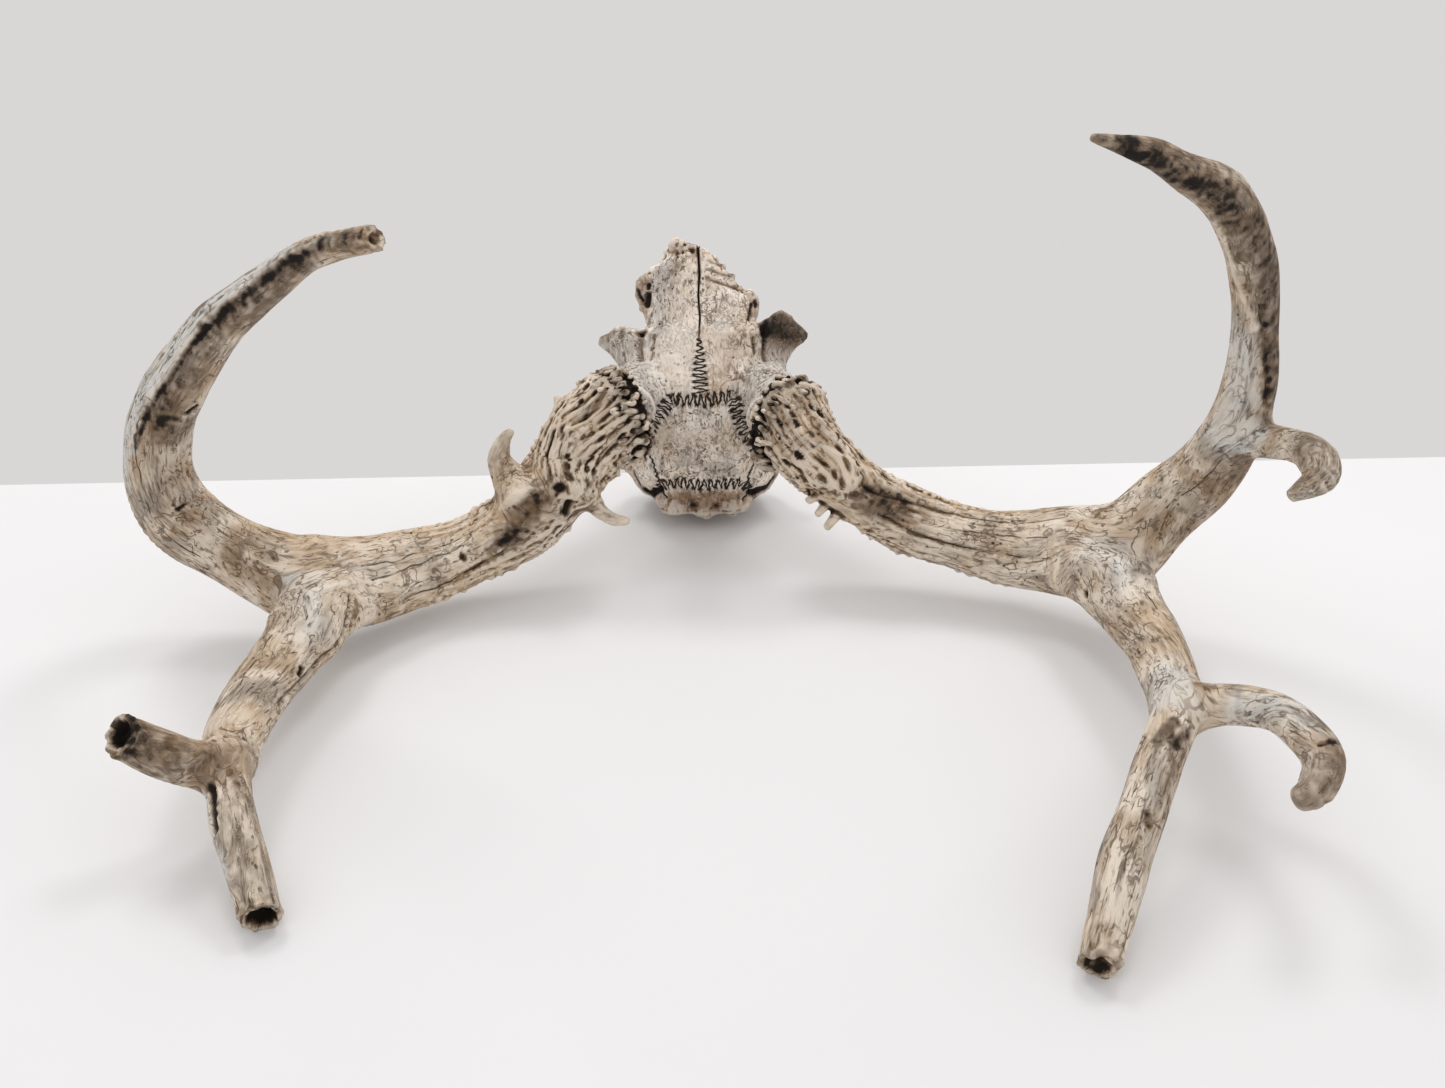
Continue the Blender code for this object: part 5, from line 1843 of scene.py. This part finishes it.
def fibred(paint, ground, fine, broad, worn, tone):
    """Brown and pale fibres, and broad brown streaks among them."""
    ground = paint.mix(paint.rise(fine, 0.48, 0.31, top=0.74 * worn), ground, tone.brown)
    ground = paint.mix(paint.rise(broad, 0.45, 0.30, top=0.56 * worn), ground, tone.brown)
    return paint.mix(paint.rise(fine, 0.52, 0.68, top=0.65), ground, tone.pale)


def curled_lines(paint, grain, stirred, scribble):
    """Ink lines along the contours of soft noise, small and large ones, each in places."""
    place = paint.scaled(stirred, (1.0, 1.0, scribble))
    small = paint.contours(paint.cloud(place, 6.5, warp=0.9), 5.0, 0.11)
    large = paint.contours(paint.cloud(paint.moved(place, 20, 60, 5), 12.0, warp=1.2), 6.0, 0.13)
    where = paint.rise(paint.cloud(paint.moved(grain, 31, 7, 55), 9.0), 0.44, 0.60)
    elsewhere = paint.rise(paint.cloud(paint.moved(grain, 8, 44, 71), 11.0), 0.46, 0.60)
    return paint.maths("MAXIMUM", paint.times(small, where), paint.times(large, elsewhere))


def short_dashes(paint, grain, along):
    """Short brown dashes along the grain, in places."""
    dashes = paint.rise(paint.cloud(paint.moved(along, 7, 80, 3), 1.3, detail=1.0), 0.62, 0.70)
    where = paint.rise(paint.cloud(paint.moved(grain, 3, 99, 21), 12.0), 0.40, 0.58)
    return paint.times(dashes, where)


def round_pits(paint, stirred):
    """Small pits everywhere, and large ones where the bone is rugged."""
    rugged = paint.number("rugged")
    small = paint.dots(paint.scaled(stirred, (1.0, 1.0, 0.7)), 3.4, 0.80, 0.17)
    large = paint.dots(paint.scaled(stirred, (1.0, 1.0, 0.6), (5, 70, 0)), 4.0, 1.35, 0.40)
    small = paint.times(small, paint.rise(rugged, -0.3, 0.4, 0.5))
    return paint.maths("MAXIMUM", small, paint.times(large, paint.rise(rugged, 0.5, 1.0)))


def dirt_shade_and_ridge_highlight(paint, ground, tone):
    """Brown to black hollows, dirt and painted shade; pale ridges, wear and painted highlight."""
    cavity = paint.number("cavity")
    ground = paint.mix(paint.rise(cavity, 0.25, 1.5, top=0.92), ground, tone.brown)
    ground = paint.mix(paint.rise(cavity, 1.1, 2.5, top=0.92), ground, tone.black)
    return paint.mix(paint.rise(cavity, -0.1, -1.1, top=0.75), ground, tone.pale)


def stains_and_painted_shade(paint, ground, grain, fine, curls, tone):
    """Brown to black stains with flecked edges, and the painted shade that dark carries; returns the black
    part too.
    """
    dark = paint.number("dark")
    mottle = paint.cloud(grain, 3.2, detail=4.0, warp=1.0, rough=0.6)
    speckle = paint.maths("MULTIPLY_ADD", mottle, 0.6, paint.times(fine, 0.4))
    reach = paint.maths("MULTIPLY_ADD", dark, 0.34, paint.maths("SUBTRACT", speckle, 0.34))
    stain_and_shade_flecks = paint.times(paint.rise(reach, 0.40, 0.64), paint.rise(dark, 0.02, 0.3))
    ground = paint.mix(paint.rise(dark, 0.0, 0.9, top=0.85), ground, tone.brown)
    ground = paint.mix(paint.times(curls, paint.rise(dark, 0.35, 0.8, top=0.5)), ground, tone.grey)
    ground = paint.mix(paint.times(stain_and_shade_flecks, 0.90), ground, tone.black)
    ground = paint.mix(paint.rise(dark, 0.7, 1.4, top=0.9), ground, tone.black)
    return paint.mix(paint.rise(dark, 0.0, -0.6, top=0.7), ground, tone.pale), stain_and_shade_flecks


def suture_lines(paint, grain):
    """The folded sutures on the roof."""
    folded = paint.folds(paint.vector("folds"), grain, 3.9, 0.92, 1.8)
    seam = paint.folds(paint.vector("seams"), grain, 3.1, 0.68, 0.8)
    return paint.times(paint.maths("MAXIMUM", folded, seam), paint.number("top"))


def crack_lines(paint, grain, fine):
    """Thin cracks that waver with the fibres and are faint in places."""
    aside = paint.maths("SUBTRACT", paint.number("crack"), 0.8)
    away = paint.maths("ABSOLUTE", paint.maths("MULTIPLY_ADD", fine, 1.6, aside))
    shown = paint.rise(paint.cloud(grain, 8.0), 0.38, 0.55, 0.1, 0.8)
    return paint.times(paint.rise(away, 0.42, 0.14), shown)


def aged_bone(name, tone, grain_name, drawn, scribble, worn, sutures=False):
    """Weathered bone on the grain that an attribute holds.

    Fibres and dashes follow the grain shortened by `drawn`, and the curled lines the grain
    whose length is shortened by `scribble`.  The lines keep the share `worn` of their
    strength.  The skull has sutures and the antlers have cracks.
    """
    paint = Paint(name, BONE_ROUGHNESS)
    grain = paint.vector(grain_name)
    along = paint.scaled(grain, drawn)
    stirred = paint.stirred(grain, 5.0, 1.3)
    fine = paint.cloud(along, 1.6, detail=4.0, warp=0.3, rough=0.65)
    broad = paint.cloud(paint.moved(along, 50, 4, 9), 5.5, detail=3.0, warp=0.6)
    curls = curled_lines(paint, grain, stirred, scribble)
    dashes = short_dashes(paint, grain, along)
    pits = round_pits(paint, stirred)
    lines = suture_lines(paint, grain) if sutures else crack_lines(paint, grain, fine)
    ground = fibred(paint, clouded(paint, grain, tone), fine, broad, worn, tone)
    ground = paint.mix(paint.times(curls, 0.75 * worn), ground, tone.brown)
    ground = paint.mix(paint.times(dashes, 0.80 * worn), ground, tone.brown)
    ground = paint.mix(paint.times(pits, 0.90), ground, tone.black)
    # Painted shade in the hollows and painted highlight on the ridges, with real dirt and wear.
    ground = dirt_shade_and_ridge_highlight(paint, ground, tone)
    # Stains, and shade painted into hollows, gaps, crevices and grooves.
    ground, stain_and_shade_flecks = stains_and_painted_shade(paint, ground, grain, fine, curls, tone)
    ground = paint.mix(paint.times(lines, 0.97), ground, tone.black)
    relief = paint.maths("MULTIPLY_ADD", fine, 1.5, paint.times(broad, 1.6))
    for pattern, depth in ((curls, 0.5), (dashes, 0.6), (pits, 2.0), (stain_and_shade_flecks, 0.5), (lines, 1.8)):
        relief = paint.maths("MULTIPLY_ADD", pattern, -depth, relief)
    return paint.finish(ground, relief, BONE_BUMP)


# ---------------------------------------------------------------- stage

CAMERA_PLACE = (0.0142, -0.5679, 0.402)
CAMERA_TILT = math.radians(60.0)
FOCAL_PIXELS = 1400.0
FRAME_WIDTH = 1445
SENSOR = 36.0
TABLE_EDGE = ((-433.0, 201.5), (479.0, 240.4))  # two places on the table's back edge
TABLE_REACH = 2500.0            # how far the table runs beyond them
TABLE_THICK = 25.0
LAMP_TRAVEL = ((0.36, -0.53, -1.0), (-0.36, -0.53, -1.0))
LAMP_AWAY = 1.7
LAMP_SIZE = 0.45
TABLE_ROUGHNESS = 0.55
TABLE_CLOUD = 0.4               # metres
TABLE_SHADE = 0.97              # its darker clouds over its own colour
TABLE_BUMP = 0.0001             # metres
HORIZON_FADE = 0.3              # sine of the height where overhead light is full


def stage_object(name, verts, faces, material):
    """A flat-faced object of the stage, in millimetres."""
    made = linked(name, verts, faces)
    made.data.materials.append(material)
    return made


def table(material):
    """A slab whose back edge runs just behind the skull; its top is the floor."""
    first, second = (np.array(place) for place in TABLE_EDGE)
    along = unit(second - first)
    left = first - TABLE_REACH * along
    right = second + TABLE_REACH * along
    forward = np.array([along[1], -along[0]]) * TABLE_REACH
    corners = [left, right, right + forward, left + forward]
    verts = [(*corner, -TABLE_THICK) for corner in corners] + [(*corner, 0.0) for corner in corners]
    faces = [(0, 1, 2, 3), (7, 6, 5, 4), (4, 5, 1, 0), (5, 6, 2, 1), (6, 7, 3, 2), (7, 4, 0, 3)]
    return stage_object("table", verts, faces, material)


def soft_lamp(name, travel, power, size):
    """An area lamp whose light travels one way, aimed at the middle of the floor."""
    data = bpy.data.lights.new(name, "AREA")
    data.shape = "DISK"
    data.size = size
    data.energy = power
    made = bpy.data.objects.new(name, data)
    way = Vector(travel).normalized()
    made.location = -LAMP_AWAY * way
    made.rotation_euler = way.to_track_quat("-Z", "Y").to_euler()
    bpy.context.scene.collection.objects.link(made)
    return made


def backdrop(colour, overhead):
    """Even light from all round, which is also the pale wall behind the table; overhead is
    how many times brighter it is above the horizon."""
    world = bpy.data.worlds.new("pale_wall")
    world.use_nodes = True
    tree = world.node_tree
    light = tree.nodes["Background"]
    light.inputs["Color"].default_value = (*colour, 1.0)
    way = tree.nodes.new("ShaderNodeTexCoord")
    split = tree.nodes.new("ShaderNodeSeparateXYZ")
    rise = tree.nodes.new("ShaderNodeMapRange")
    rise.inputs["From Max"].default_value = HORIZON_FADE
    rise.inputs["To Min"].default_value = 1.0
    rise.inputs["To Max"].default_value = overhead
    tree.links.new(way.outputs["Generated"], split.inputs[0])
    tree.links.new(split.outputs["Z"], rise.inputs["Value"])
    tree.links.new(rise.outputs["Result"], light.inputs["Strength"])
    bpy.context.scene.world = world


def camera():
    """The camera of the photograph: tilted 60 degrees from straight down, no shift."""
    data = bpy.data.cameras.new("camera")
    data.sensor_width = SENSOR
    data.lens = FOCAL_PIXELS / FRAME_WIDTH * SENSOR
    data.clip_start = 0.01
    data.clip_end = 20.0
    made = bpy.data.objects.new("camera", data)
    made.location = CAMERA_PLACE
    made.rotation_euler = (CAMERA_TILT, 0.0, 0.0)
    bpy.context.scene.collection.objects.link(made)
    bpy.context.scene.camera = made


# ---------------------------------------------------------------- settings and operators

def colour_property(name, description, default):
    """A colour setting, linear red, green and blue."""
    return bpy.props.FloatVectorProperty(
        name=name, description=description, subtype="COLOR", size=3, min=0.0, max=1.0, default=default[:3]
    )


def length_property(name, description, default):
    """A length setting in metres."""
    return bpy.props.FloatProperty(
        name=name, description=description, unit="LENGTH", subtype="DISTANCE",
        precision=4, min=0.0004, default=default,
    )


class AntlerSettings(bpy.types.PropertyGroup):
    """Sizes and colours of the antlers and burrs."""

    antler_voxel: length_property("Antler detail", "Size of the faces on the antlers", 0.00108)
    burr_voxel: length_property("Burr detail", "Size of the faces on the burrs", 0.00062)
    # Pale also paints highlights on ridges; brown and black also paint shade in hollows, pits and the gaps
    # of the burrs.
    pale: colour_property("Pale", "Worn, bleached antler", ink(226, 213, 196))
    tan: colour_property("Tan", "Clouds of tan in the antler", ink(185, 163, 138))
    grey: colour_property("Grey", "Clouds of grey in the antler", ink(168, 157, 144))
    warm: colour_property("Warm", "Ochre edges", ink(187, 160, 129))
    cold: colour_property("Cold", "Bluish white weathered bone", ink(206, 208, 206))
    brown: colour_property("Brown", "Dirt in the grain and the hollows", ink(93, 71, 50))
    black: colour_property("Black", "Deep pits and stains", ink(24, 18, 13))


class BoneSettings(bpy.types.PropertyGroup):
    """Sizes and colours of the skull bones."""

    voxel: length_property("Bone detail", "Size of the faces on the skull", 0.00085)
    # Pale also paints highlights on ridges; brown and black also paint shade in hollows, crevices, grooves
    # and holes.
    pale: colour_property("Pale", "Bleached bone", ink(248, 239, 228))
    tan: colour_property("Tan", "Clouds of tan in the bone", ink(218, 201, 182))
    grey: colour_property("Grey", "Clouds of grey in the bone", ink(196, 188, 179))
    warm: colour_property("Warm", "Spongy broken edges", ink(180, 150, 119))
    cold: colour_property("Cold", "Grey weathered bone", ink(190, 186, 181))
    brown: colour_property("Brown", "Dirt in the bone", ink(112, 86, 62))
    black: colour_property("Black", "Sutures and deep hollows", ink(22, 18, 15))


class StageSettings(bpy.types.PropertyGroup):
    """Table, wall and lamps."""

    table: colour_property("Table", "Colour of the table", ink(227, 227, 228))
    wall: colour_property("Wall", "Colour behind the table", ink(217, 215, 214))
    lamp_power: bpy.props.FloatProperty(
        name="Lamp power", description="Power of each soft lamp", unit="POWER", min=0.0, default=4.6
    )
    overhead: bpy.props.FloatProperty(
        name="Overhead", description="Light from above over the light of the wall", min=0.0, default=1.39
    )


def tones(settings):
    """The seven tones of a bone material by name, from its settings."""
    names = ("pale", "tan", "grey", "warm", "cold", "brown", "black")
    return SimpleNamespace(**{name: (*getattr(settings, name), 1.0) for name in names})


def antler_material(name, settings):
    """Weathered antler, its grain along the branches."""
    return aged_bone(name, tones(settings), "grain", drawn=(1.0, 1.0, 0.13), scribble=0.45, worn=1.0)


def bone_material(name, settings):
    """Weathered skull bone with ink-dark sutures."""
    return aged_bone(
        name, tones(settings), "place", drawn=(1.0, 0.30, 1.0), scribble=1.0, worn=1.1, sutures=True
    )


def table_material(settings):
    """White with clouds that can hardly be seen."""
    paint = Paint("white_table", TABLE_ROUGHNESS)
    faint = paint.cloud(paint.node("TexCoord", {}).outputs["Object"], TABLE_CLOUD, detail=3.0)
    white = (*settings.table, 1.0)
    shade = (*(TABLE_SHADE * v for v in settings.table), 1.0)
    return paint.finish(paint.mix(paint.rise(faint, 0.4, 0.6), white, shade), faint, TABLE_BUMP)


class DEERSKULL_OT_antlers(bpy.types.Operator):
    """Build both antlers, each one fused piece"""

    bl_idname = "deerskull.antlers"
    bl_label = "Antlers"

    def execute(self, context):
        settings = context.scene.deer_antlers
        material = antler_material("weathered_antler", settings)
        work = (
            ("antler_left", left_bars(), LEFT_MARKS, LEFT_CRACKS, LEFT_BREAKS, LEFT_BRANCHINGS, 11),
            ("antler_right", right_bars(), RIGHT_MARKS, RIGHT_CRACKS, RIGHT_BREAKS, RIGHT_BRANCHINGS, 211),
        )
        for name, bars, marks, cracks, breaks, branchings, salt in work:
            skin = antler_skin(name, bars, breaks, branchings, settings.antler_voxel / MM)
            antler_relief(skin, bars, marks, cracks, breaks, salt)
            nodes = [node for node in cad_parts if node.startswith(f"{name}_")]
            skin.done(material, "antler_bone", *nodes)
        return {"FINISHED"}


class DEERSKULL_OT_burrs(bpy.types.Operator):
    """Build the knobbed burrs between the antlers and the skull"""

    bl_idname = "deerskull.burrs"
    bl_label = "Burrs"

    def execute(self, context):
        settings = context.scene.deer_antlers
        material = antler_material("dark_burr", settings)
        work = (
            ("coronet_left", "burr_left", -1, 5),
            ("coronet_right", "burr_right", 1, 8),
        )
        for name, node, side, seed in work:
            bars = burr_bars(side, seed)
            skin = Skin(name, bars, settings.burr_voxel / MM)
            skin.draw_onto(lambda points: union_gap(bars, points, KNOB_BLEND), rounds=3)
            burr_relief(skin, side, seed)
            skin.done(material, "burr_bone", node)
        return {"FINISHED"}


class DEERSKULL_OT_bones(bpy.types.Operator):
    """Build the skull cap as six bones that meet at their sutures"""

    bl_idname = "deerskull.bones"
    bl_label = "Skull bones"

    def execute(self, context):
        settings = context.scene.deer_bones
        bars = {**middle_bars(), **side_bars(-1), **side_bars(1)}
        skin = skull_skin(bars, settings.voxel / MM)
        values = skull_relief(skin, bars)
        inner = skin.points - BONE_WALL * skin.normals()
        faces = rows_of(skin.mesh.polygons, "vertices", 4, int)
        bones = bone_of(values["place"][faces].mean(axis=1))
        materials = {slot: bone_material(slot, settings) for slot in sorted(set(BONE_SLOTS))}
        for number, (name, slot) in enumerate(zip(BONES, BONE_SLOTS)):
            points = opened_crack(skin.points, faces, bones, number)
            piece = bone_shell(f"{name}_bone", faces[bones == number], points, inner, values)
            piece.data.materials.append(materials[slot])
            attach(piece, "root")
            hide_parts(name)
        bpy.data.objects.remove(skin.object)
        return {"FINISHED"}


class DEERSKULL_OT_stage(bpy.types.Operator):
    """Build the table, the wall light, the lamps and the camera"""

    bl_idname = "deerskull.stage"
    bl_label = "Stage"

    def execute(self, context):
        settings = context.scene.deer_stage
        table(table_material(settings))
        backdrop(settings.wall, settings.overhead)
        for number, travel in enumerate(LAMP_TRAVEL):
            soft_lamp(f"lamp_{number}", travel, settings.lamp_power, LAMP_SIZE)
        camera()
        bpy.context.scene.view_settings.view_transform = "Standard"
        return {"FINISHED"}


class DEERSKULL_PT_panel(bpy.types.Panel):
    """Settings and build buttons of the deer skull"""

    bl_label = "Deer Skull"
    bl_idname = "DEERSKULL_PT_panel"
    bl_space_type = "VIEW_3D"
    bl_region_type = "UI"
    bl_category = "Deer Skull"

    def draw(self, context):
        for settings, steps in (
            (context.scene.deer_antlers, ("antlers", "burrs")),
            (context.scene.deer_bones, ("bones",)),
            (context.scene.deer_stage, ("stage",)),
        ):
            box = self.layout.box()
            for name in settings.__annotations__:
                box.prop(settings, name)
            for step in steps:
                box.operator(f"deerskull.{step}")


CLASSES = (
    AntlerSettings,
    BoneSettings,
    StageSettings,
    DEERSKULL_OT_antlers,
    DEERSKULL_OT_burrs,
    DEERSKULL_OT_bones,
    DEERSKULL_OT_stage,
    DEERSKULL_PT_panel,
)
SETTINGS = {"deer_antlers": AntlerSettings, "deer_bones": BoneSettings, "deer_stage": StageSettings}


def register():
    """Register the classes and hang the settings on the scene."""
    for cls in CLASSES:
        bpy.utils.register_class(cls)
    for name, group in SETTINGS.items():
        setattr(bpy.types.Scene, name, bpy.props.PointerProperty(type=group))


def unregister():
    """Undo register."""
    for name in SETTINGS:
        delattr(bpy.types.Scene, name)
    for cls in reversed(CLASSES):
        bpy.utils.unregister_class(cls)


def main():
    """Build everything in order."""
    register()
    bpy.ops.deerskull.antlers()
    bpy.ops.deerskull.burrs()
    bpy.ops.deerskull.bones()
    bpy.ops.deerskull.stage()


if __name__ == "__main__":
    main()
